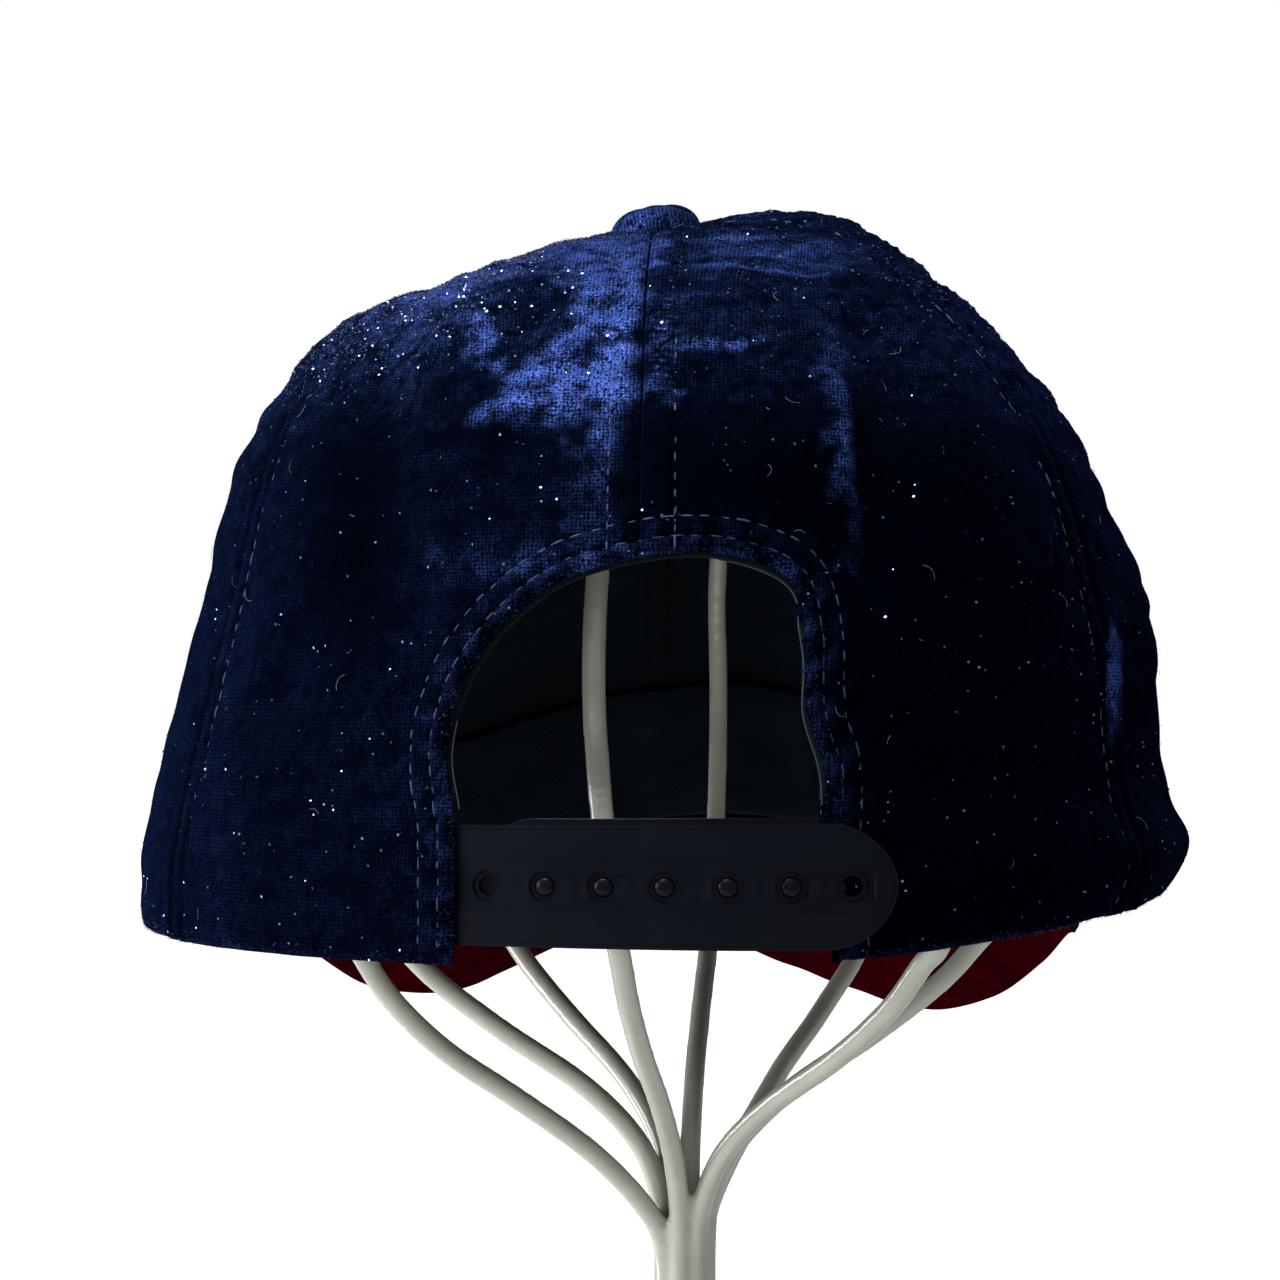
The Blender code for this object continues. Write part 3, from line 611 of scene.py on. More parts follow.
simpleFinishes = (   # key, material, roughness, metallic, sheen and its tint, patch size, two colours
    # spun polyester thread: two plies wound together, a little lustre
    ("thread", "navySpunThread", 0.55, 0.0, 0.3, "#8fa2e0", 0.0004, "#0b112b", "#28356c"),
    # polyester film flakes, metallised and bonded to the pile
    ("flake", "metallisedFilmFlake", 0.22, 1.0, 0.0, "#ffffff", 0.0011, "#26346e", "#8f9ccc"),
    # loose cotton fibres that velvet picks up
    ("lint", "paleCottonLint", 0.80, 0.0, 0.0, "#ffffff", 0.004, "#3c4358", "#9aa0ae"),
    # selvedge of the facing tape: grey polyester, closely woven
    ("selvedge", "greyTapeSelvedge", 0.70, 0.0, 0.0, "#ffffff", 0.0005, "#10161e", "#39424d"),
    # single pile fibres standing off the ground cloth at folds and cut edges
    ("fibre", "navyPileFibre", 0.50, 0.0, 0.4, "#6f86e0", 0.003, "#080c1e", "#1d2c66"),
)


def buildMaterials():
    made = {}
    made["navy"] = pileVelvet("navyCutPileVelvet", velvetLook["navyDeep"], velvetLook["navyLit"],
                              velvetLook["navySheen"], 0.55, True)
    made["red"] = pileVelvet("burgundyCutPileVelvet", velvetLook["redDeep"], velvetLook["redLit"],
                             velvetLook["redSheen"], 0.0, False)

    # piece-dyed polyester twill: fine slanted ribs, nearly no gloss
    material, tree, shader = newMaterial("blackTwillLining", Roughness=0.86, Sheen_Weight=0.05,
                                         Sheen_Tint=linear("#6f9096"), Specular_IOR_Level=0.12)
    spot = addNode(tree, "ShaderNodeTexCoord").outputs
    rib = addNode(tree, "ShaderNodeTexWave", {"Scale": waveScale(0.0007), "Distortion": 0.8},
                  {"Vector": spot["UV"]}, bands_direction="DIAGONAL")
    cloud = addNode(tree, "ShaderNodeTexNoise", {"Scale": 1 / 0.016, "Detail": 3.0},
                    {"Vector": spot["Object"]})
    height = addNode(tree, "ShaderNodeMath", {1: 0.25}, {0: rib.outputs["Fac"], 2: cloud.outputs["Fac"]},
                     operation="MULTIPLY_ADD")
    ramp = addNode(tree, "ShaderNodeMapRange", {"From Min": 0.3, "From Max": 1.0},
                   {"Value": height.outputs[0]})
    tree.links.new(blend(tree, ramp.outputs[0], "#02080f", "#0a1a26"), shader.inputs["Base Color"])
    bump = addNode(tree, "ShaderNodeBump", {"Strength": 0.4, "Distance": 0.00015},
                   {"Height": height.outputs[0]})
    tree.links.new(bump.outputs[0], shader.inputs["Normal"])
    made["twill"] = material

    # injection-moulded polyethylene: satin skin with a fine spark-eroded grain
    material, tree, shader = newMaterial("navyMouldedPolyethylene", IOR=1.51, Specular_IOR_Level=0.14)
    spot = addNode(tree, "ShaderNodeTexCoord").outputs
    grain = addNode(tree, "ShaderNodeTexNoise", {"Scale": 1 / 0.00028, "Detail": 2.0},
                    {"Vector": spot["Object"]})
    haze = addNode(tree, "ShaderNodeTexNoise", {"Scale": 1 / 0.007, "Detail": 3.0},
                   {"Vector": spot["Object"]})
    tree.links.new(blend(tree, haze.outputs["Fac"], "#02050f", "#060c1b"), shader.inputs["Base Color"])
    bump = addNode(tree, "ShaderNodeBump", {"Strength": 0.22, "Distance": 0.00008},
                   {"Height": grain.outputs["Fac"]})
    tree.links.new(bump.outputs[0], shader.inputs["Normal"])
    gloss = addNode(tree, "ShaderNodeMapRange", {"To Min": 0.26, "To Max": 0.38},
                    {"Value": haze.outputs["Fac"]})
    tree.links.new(gloss.outputs[0], shader.inputs["Roughness"])
    made["plastic"] = material

    # steel wire dipped in off-white vinyl: thick glossy coat with soft runs
    material, tree, shader = newMaterial("offWhiteDippedVinyl", Roughness=0.24, IOR=1.53, Coat_Weight=0.6,
                                         Coat_Roughness=0.09)
    spot = addNode(tree, "ShaderNodeTexCoord").outputs
    runs = addNode(tree, "ShaderNodeTexNoise", {"Scale": 1 / 0.009, "Detail": 3.0},
                   {"Vector": spot["Object"]})
    fine = addNode(tree, "ShaderNodeTexNoise", {"Scale": 1 / 0.0016, "Detail": 2.0},
                   {"Vector": spot["Object"]})
    tree.links.new(blend(tree, runs.outputs["Fac"], "#b4b6a8", "#d0cfc3"), shader.inputs["Base Color"])
    swell = addNode(tree, "ShaderNodeBump", {"Strength": 0.3, "Distance": 0.0006},
                    {"Height": runs.outputs["Fac"]})
    bump = addNode(tree, "ShaderNodeBump", {"Strength": 0.12, "Distance": 0.0002},
                   {"Height": fine.outputs["Fac"], "Normal": swell.outputs[0]})
    tree.links.new(bump.outputs[0], shader.inputs["Normal"])
    made["dip"] = material

    for key, name, roughness, metallic, sheen, tint, size, first, second in simpleFinishes:
        material, tree, shader = newMaterial(name, Roughness=roughness, Metallic=metallic, Sheen_Weight=sheen,
                                             Sheen_Tint=linear(tint))
        spot = addNode(tree, "ShaderNodeTexCoord").outputs
        cloud = addNode(tree, "ShaderNodeTexNoise", {"Scale": 1 / size}, {"Vector": spot["Object"]})
        tree.links.new(blend(tree, cloud.outputs["Fac"], first, second), shader.inputs["Base Color"])
        made[key] = material
    return made


finishes = buildMaterials()
print("materials ready")

# The six panels
panelMesh = {
    "side": (104, 165),    # columns and rows of a plain panel
    "back": (190, 185),    # along the opening's edge, and from the edge out to the side seam
}
clothSheets = []   # outer faces alone, for what grows or lies on the cloth


def sewPanel(name, node, points, maps, angle, station, edge, flip):
    uneven = ripple(runAt(station), np.radians(angle) * planRadius(station), 0.0045, 45)
    bent = np.exp(-(edge / 0.0040) ** 2) * np.maximum(0.030 + 0.055 * uneven, 0)   # opened pile
    # the colour's share: nap with painted highlight and painted shade, and opened pile near the opening
    piece = gridObject(name, points, maps, np.clip(napAndPaintedLightShare(angle, station) + bent, 0, 1), flip=flip)
    sheet = piece.copy()
    sheet.data = piece.data.copy()
    rim = np.minimum(edge, runAt(station))
    fuzz = np.exp(-(rim / 0.0016) ** 2) + 0.010
    store(sheet.data, "fuzz", fuzz)
    ridge = ease((points[..., 2] - capPlace[2] - 0.088) / 0.024)
    thickest = ease((angle - 20) / 18) * ease((82 - angle) / 14)   # glitter along the top left ridge
    spark = 0.17 + ridge * np.where(angle > 0, 1.5 + 9.0 * thickest, 0.5)
    store(sheet.data, "spark", spark)
    store(sheet.data, "lint", np.ones_like(rim))
    clothSheets.append(sheet)
    giveMaterials(piece, finishes["navy"], finishes["twill"], finishes["twill"])
    piece = thicken(piece, crown["cloth"], 1, 2)
    mesh = piece.data
    kinds = np.empty(len(mesh.polygons), np.int32)
    mesh.polygons.foreach_get("material_index", kinds)
    centres = np.empty(len(mesh.polygons) * 3)
    mesh.polygons.foreach_get("center", centres)
    centres = centres.reshape(-1, 3) - capPlace
    low = centres[:, 2] < 0.0035 + crown["frontLift"] * (centres[:, 1] < 0) * 1.1
    atArch = (centres[:, 1] > 0.06) & (np.abs(centres[:, 0]) < 0.034) & (centres[:, 2] < 0.064)
    kinds[(kinds == 2) & (low | atArch)] = 0    # the cloth is turned at the hem and the opening
    mesh.polygons.foreach_set("material_index", kinds)
    return finishPiece(piece, "navy_velvet", node)


def plainPanel(name, node, start, stop):
    columns, rows = panelMesh["side"]
    share = np.linspace(0, 1, columns + 1)
    share = share - 0.06 * np.sin(2 * math.pi * share)   # closer columns beside the seams
    run = crownRun * np.linspace(0, 1, rows + 1)
    angle, station = np.meshgrid(start + (stop - start) * share, stationOfRun(run), indexing="ij")
    points = clothPoint(angle, station)
    maps = np.stack([np.radians(angle - (start + stop) / 2) * planRadius(station), runAt(station)], axis=-1)
    far = np.full_like(angle, 1.0)   # from the opening
    return sewPanel(name, node, points, maps, (angle + 180) % 360 - 180, station, far, True)


def backPanel(name, node, side):
    # a patch between the opening's edge, the back seam, the side seam and the rim; side is 1 or -1
    along, outward = panelMesh["back"]
    middle = int(np.argmin(np.abs(archEdge[:, 0])))
    half = archEdge[:middle + 1][::-1] if side > 0 else archEdge[middle:]
    half = half.copy()
    half[0, 0] = 0.0
    reach = np.concatenate([[0], np.cumsum(np.linalg.norm(np.diff(half, axis=0), axis=1))])
    s = np.linspace(0, 1, along + 1)
    edge = np.stack([np.interp(s * reach[-1], reach, half[:, k]) for k in (0, 1)], axis=-1)
    angle, station = backAt(edge[:, 0], np.maximum(edge[:, 1], crownBase(0.0, 0.0)[2] + 0.0001))
    station[-1] = 0.0
    flat = lambda turn, place: np.stack([np.radians(turn) * planRadius(place), runAt(place)], axis=-1)
    archSide = flat(angle, station)
    seamStation = stationOfRun(crownRun * (1 - s))
    seamSide = flat(60.0 * side * ease(s / 0.05), seamStation)
    t = np.linspace(0, 1, outward + 1)
    t = t * (0.30 + 0.70 * t)      # rings lie closer beside the rolled edge
    centre = np.stack([np.zeros_like(t), archSide[0, 1] + (crownRun - archSide[0, 1]) * t], axis=-1)
    foot = archSide[-1]
    corner = seamSide[-1]
    rim = foot + (corner - foot) * t[:, None]
    down, over = s[:, None, None], t[None, :, None]
    patch = ((1 - over) * archSide[:, None] + over * seamSide[:, None]
             + (1 - down) * centre[None] + down * rim[None])
    patch -= ((1 - down) * (1 - over) * archSide[0] + (1 - down) * over * seamSide[0]
              + down * (1 - over) * foot + down * over * corner)
    station = stationOfRun(np.clip(patch[..., 1], 0, crownRun))
    angle = np.degrees(patch[..., 0] / np.maximum(planRadius(station), 0.003))
    base = crownBase(angle, station)
    points = clothPoint(angle, station, back=True)
    return sewPanel(name, node, points, patch, angle, station, archDistance(base), side > 0)


backPanel("velvetPanelBackLeft", "panel_back_left", 1)
backPanel("velvetPanelBackRight", "panel_back_right", -1)
plainPanel("velvetPanelSideLeft", "panel_side_left", 60, 120)
plainPanel("velvetPanelFrontLeft", "panel_front_left", 120, 180)
plainPanel("velvetPanelFrontRight", "panel_front_right", 180, 240)
plainPanel("velvetPanelSideRight", "panel_side_right", 240, 300)
print("six velvet panels sewn")


# Button
button = {
    "radius": 0.0085,
    "height": 0.0056,
    "tuck": 0.0011,       # how far the cloth is drawn in under the edge
    "gathers": 18,
    "steps": (72, 30),
}


def within(angle, radius):
    # the station at which the crown has this plan radius
    low, high = 0.5, 1.0
    for _ in range(24):
        middle = (low + high) / 2
        point = crownBase(angle, middle)
        if math.hypot(point[0], point[1]) > radius:
            low = middle
        else:
            high = middle
    return (low + high) / 2


def coverButton():
    ring = [crownBase(turn, within(turn, button["radius"])) for turn in (90, -90, 0, 180)]
    across = Vector(ring[0] - ring[1]).normalized()
    along = Vector(ring[2] - ring[3]).normalized()
    up = across.cross(along).normalized()
    along = up.cross(across)
    bed = max(Vector(crownBase(turn, within(turn, share * button["radius"]))).dot(up)
              for turn in range(0, 360, 15) for share in (0.55, 0.75, 0.9))
    around, rings = button["steps"]
    turn = np.linspace(0, 2 * math.pi, around, endpoint=False)[:, None]
    place = np.linspace(0, 1, rings)[None, :]
    bend = place * 1.22 * math.pi / 2
    radius = button["radius"] * np.sin(np.minimum(bend, math.pi / 2)) ** 0.9
    radius = radius - button["tuck"] * ease((place - 0.82) / 0.18)
    height = button["height"] * np.cos(bend) * np.where(bend < math.pi / 2, 1, 0.9)
    height = np.where(place < 0.82, np.maximum(height, 0) ** 0.8 * button["height"] ** 0.2, height)
    foldWave = np.sin(button["gathers"] * turn + 1.3 * np.sin(3 * turn))
    radius = radius + 0.00006 * foldWave * ease((place - 0.45) / 0.4)
    dimple = 0.00035 * np.exp(-(place / 0.16) ** 2)
    height = height - dimple + 0.00010 * np.sin(5 * turn + 2) * np.sin(place * 5)
    x, y = radius * np.sin(turn), radius * np.cos(turn)
    base = Vector(capPlace) + Vector((0, 0, (bed + 0.0003) / up.z))
    points = (np.array(base) + x[..., None] * np.array(across) + y[..., None] * np.array(along)
              + (height - 0.0003)[..., None] * np.array(up))
    maps = np.stack([x + 0 * height, y + 0 * height], axis=-1)
    # painted highlight: the button's share rises on its +X side, towards the lamps, and down its sloping
    # sides
    napAndPaintedLight = 0.23 + 0.36 * ease((x / button["radius"] + 0.2) / 1.2) * ease((place - 0.3) / 0.3) + 0 * height
    piece = gridObject("velvetButton", points, maps, napAndPaintedLight, closed=True, flip=True)
    giveMaterials(piece, finishes["navy"])
    return finishPiece(cleaned(piece, merge=0.00001), "navy_velvet", "button")


coverButton()
print("button covered")

# Inside: sweatband and the tape round the opening
band = {
    "height": 0.027,
    "thickness": 0.0011,
    "inset": 0.0028,
    "radius": 0.09,        # for its map and its waves alone
    "hang": 0.0014,        # how far it covers the brim's root
    "startAngle": 28.1,    # where it ends on each side of the opening
    "steps": 300,
}


def ribbonAround(half, thickness, steps=4):
    # a rounded strip's cross-section as shares across and depths, going round once
    ring = []
    rounded = thickness / 2 / half
    for side in (1, -1):
        for step in range(steps + 1):
            turn = math.pi * step / steps
            ring.append((side * (1 - rounded) + side * rounded * math.sin(turn),
                         thickness / 2 * (1 - side * math.cos(turn))))
        flat = np.linspace(1, -1, 9)[1:-1] * side * (1 - rounded)
        ring += [(share, thickness if side > 0 else 0.0) for share in flat]
    return np.array(ring)


def sewBand():
    section = ribbonAround(band["height"] / 2, band["thickness"])
    angle = np.linspace(band["startAngle"], 360 - band["startAngle"], band["steps"])[:, None]
    overBrim = ease((66 - np.abs(angle - 180)) / 8)
    lowest = crownBase(angle[:, 0], 0.0)[:, 2][:, None]
    share = (section[:, 0][None, :] + 1) / 2
    along = np.radians(angle) * band["radius"]
    wave = 0.0006 * ripple(along, 0 * angle, 0.030, 51)
    height = lowest + share * (band["height"] + wave)
    wrinkle = 0.00022 * ripple(along, share * 0.02, 0.014, 52)
    station = stationAt(angle, height)
    points = capPoint(angle, station, -(band["inset"] + section[:, 1][None, :]) + wrinkle)
    points[..., 2] -= (band["hang"] * overBrim + 0.0003) * (1 - ease(share / 0.4))
    maps = np.stack([along + 0 * share, share * band["height"] + 0 * angle], axis=-1)
    piece = gridObject("twillSweatband", points.transpose(1, 0, 2), maps.transpose(1, 0, 2), closed=True)
    giveMaterials(cleaned(piece, fill=True), finishes["twill"])
    return finishPiece(piece, "lining_twill", "sweatband")


facing = {
    "width": 0.010,
    "thickness": 0.0008,
    "foot": 0.0236,       # it starts above the straps
    "inset": 0.0019,
    "peek": 0.0004,       # how far its edge shows past the velvet
    "selvedgePeek": 0.0007,
    "selvedge": 0.00013,  # radius of the woven edge
}


def archOffset(margin):
    along = np.gradient(archEdge, axis=0)
    along /= np.linalg.norm(along, axis=1)[:, None]
    outward = np.stack([along[:, 1], -along[:, 0]], axis=1)
    return archEdge + outward * margin


def sewFacing():
    kept = archEdge[:, 1] > facing["foot"]
    section = ribbonAround(facing["width"] / 2, facing["thickness"], 3)
    columns = []
    for share, depth in section:
        margin = -facing["peek"] + (share + 1) / 2 * facing["width"]
        line = archOffset(margin)[kept]
        angle, station = backAt(line[:, 0], line[:, 1])
        columns.append(capPoint(angle, station, -(facing["inset"] + depth)))
    points = np.stack(columns, axis=0)
    count = points.shape[1]
    maps = np.stack(np.broadcast_arrays(np.linspace(0, 0.17, count)[None, :],
                                        section[:, 0][:, None] * facing["width"] / 2), axis=-1)
    piece = gridObject("openingFacingTape", points, maps, closed=True)
    giveMaterials(cleaned(piece, fill=True), finishes["twill"])
    return finishPiece(piece, "lining_twill", "arch_facing")


sewBand()
sewFacing()
print("sweatband and facing sewn")

# Snap straps, made flat (length, height, depth) and then bent round the crown
strap = {
    "width": 0.0189,
    "thickness": 0.0013,
    "foot": 0.0009,
    "tuck": 0.0125,
    "pitch": 0.0091,
    "holes": 7,
    "studs": 5,
    "holeRadius": 0.00158,
    "sinkRadius": 0.00245,
    "sinkDepth": 0.00075,
    "tail": 0.0068,
    "underTail": 0.0116,
    "insideEdge": 0.0024,
    "underRaise": 0.0012,
    "gap": 0.0003,
    "crossing": 0.86,
    "bandHalf": 0.0041,       # the shallow band moulded along the middle
    "bandDepth": 0.00014,
    "channelHalf": 0.0019,    # and the channel the holes lie in
    "channelDepth": 0.00030,
    "pastHole": 0.0034,       # both end this far past the last hole
    "grooveOuter": 0.00055,   # a fine line moulded just inside the outline
    "grooveInner": 0.00085,
    "grooveDepth": 0.00013,
    "studPlay": 0.00012,      # between a stud and its hole
    "studBelow": 0.00020,     # its top under the strap's face
    "bevel": 0.00017,
    "sharp": 13,              # edges stay crisp above this turn
}
strapRadius = halfWidth * halfWidth / halfDepth
clothOff = crown["wall"] + strap["gap"]


def topOffset(length):
    half = opening["width"] / 2 * strap["crossing"]
    outside = strap["gap"] + strap["thickness"]
    return outside + (-clothOff - outside) * ease((length + half) / (2 * half))


def underOffset(length):
    half = opening["width"] / 2 * strap["crossing"]
    return -clothOff - (strap["thickness"] + strap["gap"]) * ease((length + half) / (2 * half))


def strapPoint(length, height, offset):
    angle = np.degrees(length / strapRadius)
    return capPoint(angle, stationAt(angle, height), offset)


def roundEnded(square, tip, half, steps=28):
    # outline from a square end to a round one, as (length, height)
    direction = 1 if tip > square else -1
    line = [(square, -half)]
    for step in range(steps + 1):
        turn = -math.pi / 2 + math.pi * step / steps
        line.append((tip - direction * half * (1 - math.cos(turn)), half * math.sin(turn)))
    line.append((square, half))
    return line


def prism(name, outline, low, high, inner=None):
    form = bmesh.new()
    loops = [[form.verts.new((x, z, low)) for x, z in line] for line in (outline, inner) if line]
    if inner:
        for first, second in zip(range(len(outline)), range(1, len(outline) + 1)):
            second %= len(outline)
            form.faces.new([loops[0][first], loops[0][second], loops[1][second], loops[1][first]])
    else:
        form.faces.new(loops[0])
    moved = bmesh.ops.extrude_face_region(form, geom=form.faces[:])["geom"]
    for item in moved:
        if isinstance(item, bmesh.types.BMVert):
            item.co.z = high
    bmesh.ops.recalc_face_normals(form, faces=form.faces)
    return fromForm(name, form)


def disc(centre, radius, steps=32):
    return [(centre + radius * math.cos(2 * math.pi * k / steps), radius * math.sin(2 * math.pi * k / steps))
            for k in range(steps)]


def carve(piece, cutters, operation="DIFFERENCE"):
    for cutter in cutters:
        step = piece.modifiers.new(cutter.name, "BOOLEAN")
        step.operation = operation
        step.solver = "EXACT"
        step.object = cutter
    name = piece.name
    piece.name = name + "Blank"
    made = applied(piece, name)
    for cutter in cutters:
        bpy.data.objects.remove(cutter, do_unlink=True)
    return made


def bendOn(piece, offsetAt, rise, step=0.0011):
    # bevelled flat strap, cut across in short lengths and laid along the crown
    edge = piece.modifiers.new("edge", "BEVEL")
    edge.width = strap["bevel"]
    edge.segments = 2
    edge.limit_method = "ANGLE"
    edge.angle_limit = math.radians(40)
    edge.use_clamp_overlap = True
    name = piece.name
    piece.name = name + "Flat"
    piece = applied(piece, name)
    form = bmesh.new()
    form.from_mesh(piece.data)
    bmesh.ops.remove_doubles(form, verts=form.verts, dist=0.000002)
    lengths = [point.co.x for point in form.verts]
    place = min(lengths) + step
    while place < max(lengths) - step / 2:
        bmesh.ops.bisect_plane(form, geom=form.verts[:] + form.edges[:] + form.faces[:],
                               plane_co=(place, 0, 0), plane_no=(1, 0, 0), dist=0.000001)
        place += step
    bmesh.ops.triangulate(form, faces=form.faces[:])
    uvs = form.loops.layers.uv.new("cloth")
    for face in form.faces:
        for corner in face.loops:
            corner[uvs].uv = corner.vert.co.xy
    form.to_mesh(piece.data)
    form.free()
    flat = np.empty(len(piece.data.vertices) * 3)
    piece.data.vertices.foreach_get("co", flat)
    flat = flat.reshape(-1, 3)
    middle = strap["foot"] + strap["width"] / 2 + rise
    points = strapPoint(flat[:, 0], middle + flat[:, 1], offsetAt(flat[:, 0]) + flat[:, 2])
    piece.data.vertices.foreach_set("co", points.ravel())
    cleaned(piece).data.shade_smooth()
    piece.data.set_sharp_from_angle(angle=math.radians(strap["sharp"]))
    return piece


def mouldStraps():
    width, thick = strap["width"] / 2, strap["thickness"]
    last = -(opening["width"] / 2 + strap["insideEdge"])
    holes = [last + strap["pitch"] * k for k in range(strap["holes"])]
    sewn = opening["width"] / 2 + strap["tuck"]
    tip = holes[0] - strap["tail"]
    blank = prism("snapStrapTop", roundEnded(sewn, tip, width), -thick, 0)
    beyond = sewn + 0.002
    stop, half = holes[0] - strap["pastHole"], strap["channelHalf"]
    outer, inner = strap["grooveOuter"], strap["grooveInner"]
    cutters = [
        prism("band", roundEnded(beyond, stop, strap["bandHalf"]), -strap["bandDepth"], 0.001),
        prism("channel", [(beyond, -half), (beyond, half), (stop, half), (stop, -half)],
              -strap["channelDepth"], 0.001),
        prism("outlineGroove", roundEnded(beyond, tip + outer, width - outer), -strap["grooveDepth"], 0.001,
              roundEnded(beyond - 0.0005, tip + inner, width - inner)),
    ]
    for k, hole in enumerate(holes):
        cutters.append(prism(f"sink{k}", disc(hole, strap["sinkRadius"]), -strap["sinkDepth"], 0.001))
        cutters.append(prism(f"hole{k}", disc(hole, strap["holeRadius"]), -thick - 0.001, 0.0012))
    top = bendOn(carve(blank, cutters), topOffset, 0.0)
    giveMaterials(top, finishes["plastic"])
    finishPiece(top, "snap_plastic", "strap_with_holes")

    firstStud = (strap["holes"] - strap["studs"]) // 2
    studs = holes[firstStud:firstStud + strap["studs"]]
    underTip = studs[-1] + strap["underTail"]
    under = prism("snapStrapUnder", roundEnded(-sewn, underTip, width), -thick, 0)
    added = []
    for k, stud in enumerate(studs):
        rise = topOffset(np.array(stud)) - underOffset(np.array(stud)) - strap["studBelow"]
        radius = strap["holeRadius"] - strap["studPlay"]
        form = bmesh.new()
        rings = []
        profile = [(radius * 0.9, -thick / 2), (radius * 0.9, rise - 0.0010), (radius, rise - 0.0008)]
        profile += [(radius * math.cos(turn), rise - 0.0006 + 0.0006 * math.sin(turn))
                    for turn in np.linspace(0.15, 1.35, 9)]
        for reach, height in profile:
            rings.append([form.verts.new((stud + x, y - strap["underRaise"], height))
                          for x, y in disc(0, reach)])
        for low, high in zip(rings, rings[1:]):
            for n in range(len(low)):
                form.faces.new([low[n - 1], low[n], high[n], high[n - 1]])
        form.faces.new(rings[0][::-1])
        form.faces.new(rings[-1])
        bmesh.ops.recalc_face_normals(form, faces=form.faces)
        added.append(fromForm(f"stud{k}", form))
    under = bendOn(carve(under, added, "UNION"), underOffset, strap["underRaise"])
    giveMaterials(under, finishes["plastic"])
    finishPiece(under, "snap_plastic", "strap_with_studs")


mouldStraps()
print("snap straps moulded")

# Brim
brim = {
    "length": 0.066,
    "width": 0.168,
    "thickness": 0.0038,
    "drop": 0.047,
    "halfTurn": 64,
    "skew": 0.0018,
    "power": 2.7,
    "turn": (0.00, 0.14, 0.28, 0.42, 0.60, 0.80, 1.00),
    "leftDrop": (0.65, 0.67, 0.83, 0.91, 0.82, 0.57, 0.44),
    "rightDrop": (0.65, 0.80, 0.93, 0.99, 0.90, 0.68, 0.47),
    "steps": (200, 44),
    "rows": 7,             # rows of stitches that hold the board between its covers
    "firstRow": 0.006,     # from the edge
    "rowSpacing": 0.0075,
    "rowWidth": 0.0006,
    "rowDent": 0.00032,
}


def edgeDrop(share, left):
    turns = np.array(brim["turn"])
    step = np.clip(np.searchsorted(turns, share, side="right") - 1, 0, len(turns) - 2)
    place = (step + (share - turns[step]) / (turns[step + 1] - turns[step])) / (len(turns) - 1)
    return brim["drop"] * np.where(left, smoothThrough(brim["leftDrop"], place),
                                   smoothThrough(brim["rightDrop"], place))


def brimPoint(u, v):
    u, v = np.broadcast_arrays(u, v)
    turn = (1 - 2 * u) * brim["halfTurn"]
    angle = 180 - turn
    rest = np.zeros_like(angle)
    wall = clothNormal(angle, rest)
    wall[..., 2] = 0
    wall /= np.linalg.norm(wall, axis=-1, keepdims=True)
    rootPoint = crownBase(angle, rest) + capPlace - wall * crown["wall"]
    rootPoint[..., 2] -= 0.0003
    share = np.abs(1 - 2 * u)
    left = u < 0.5
    spread = share * math.pi / 2
    corner = -crownBase(np.array(180.0 - brim["halfTurn"]), np.array(0.0))[1]
    power = 2 / brim["power"]
    sideways = brim["width"] / 2 * np.sin(spread) ** power
    forward = corner + (halfDepth + brim["length"] - corner) * np.maximum(np.cos(spread), 0) ** power
    edge = np.stack([np.where(left, sideways, -sideways), -forward,
                     crown["frontLift"] - edgeDrop(share, left)], axis=-1)
    edge[..., 0] -= brim["skew"] * np.maximum(np.cos(spread), 0) ** power
    edge = edge + capPlace
    point = rootPoint + (edge - rootPoint) * v[..., None]
    point[..., 2] = rootPoint[..., 2] + (edge[..., 2] - rootPoint[..., 2]) * v ** 1.15
    return point


def coverBrim():
    columns, rows = brim["steps"]
    u = np.linspace(0, 1, columns + 1)[:, None]
    v = np.linspace(0, 1, rows + 1)[None, :]
    top = brimPoint(u, v)
    du = np.gradient(top, axis=0)
    dv = np.gradient(top, axis=1)
    normal = np.cross(dv, du)
    normal /= np.maximum(np.linalg.norm(normal, axis=-1, keepdims=True), 1e-9)
    if normal[columns // 2, rows // 2, 2] < 0:
        normal = -normal
    thick = brim["thickness"]
    reach = np.linalg.norm(top[:, -1] - top[:, 0], axis=-1)[:, None] * (1 - v)
    fromEdge = np.minimum(reach, np.minimum(u, 1 - u) * 0.30)
    radius = thick / 2
    left = np.clip(radius - fromEdge, 0, radius)
    turned = radius - np.sqrt(np.maximum(radius**2 - left**2, 0))
    dent = np.zeros_like(reach)
    for row in range(brim["rows"]):
        past = reach - brim["firstRow"] - row * brim["rowSpacing"]
        dent += brim["rowDent"] * np.exp(-(past / brim["rowWidth"]) ** 2)
    soft = 0.00018 * ripple(top[..., 0], top[..., 1], 0.02, 61)
    upper = top - normal * (turned + dent - soft)[..., None]
    lower = top - normal * (thick - turned - dent * 0.8 - soft)[..., None]
    ring = np.concatenate([upper, lower[:, ::-1]], axis=1)
    across = np.linalg.norm(top - top[:, :1], axis=-1)
    turnRun = (u - 0.5) * 0.24 + 0 * v
    maps = np.concatenate([np.stack([turnRun, across], -1), np.stack([turnRun, across], -1)[:, ::-1]], axis=1)
    piece = gridObject("velvetBrim", ring.transpose(1, 0, 2), maps.transpose(1, 0, 2), closed=True)
    giveMaterials(cleaned(piece, merge=0.00002, fill=True), finishes["red"])
    return finishPiece(piece, "burgundy_velvet", "brim")


coverBrim()
print("brim covered")

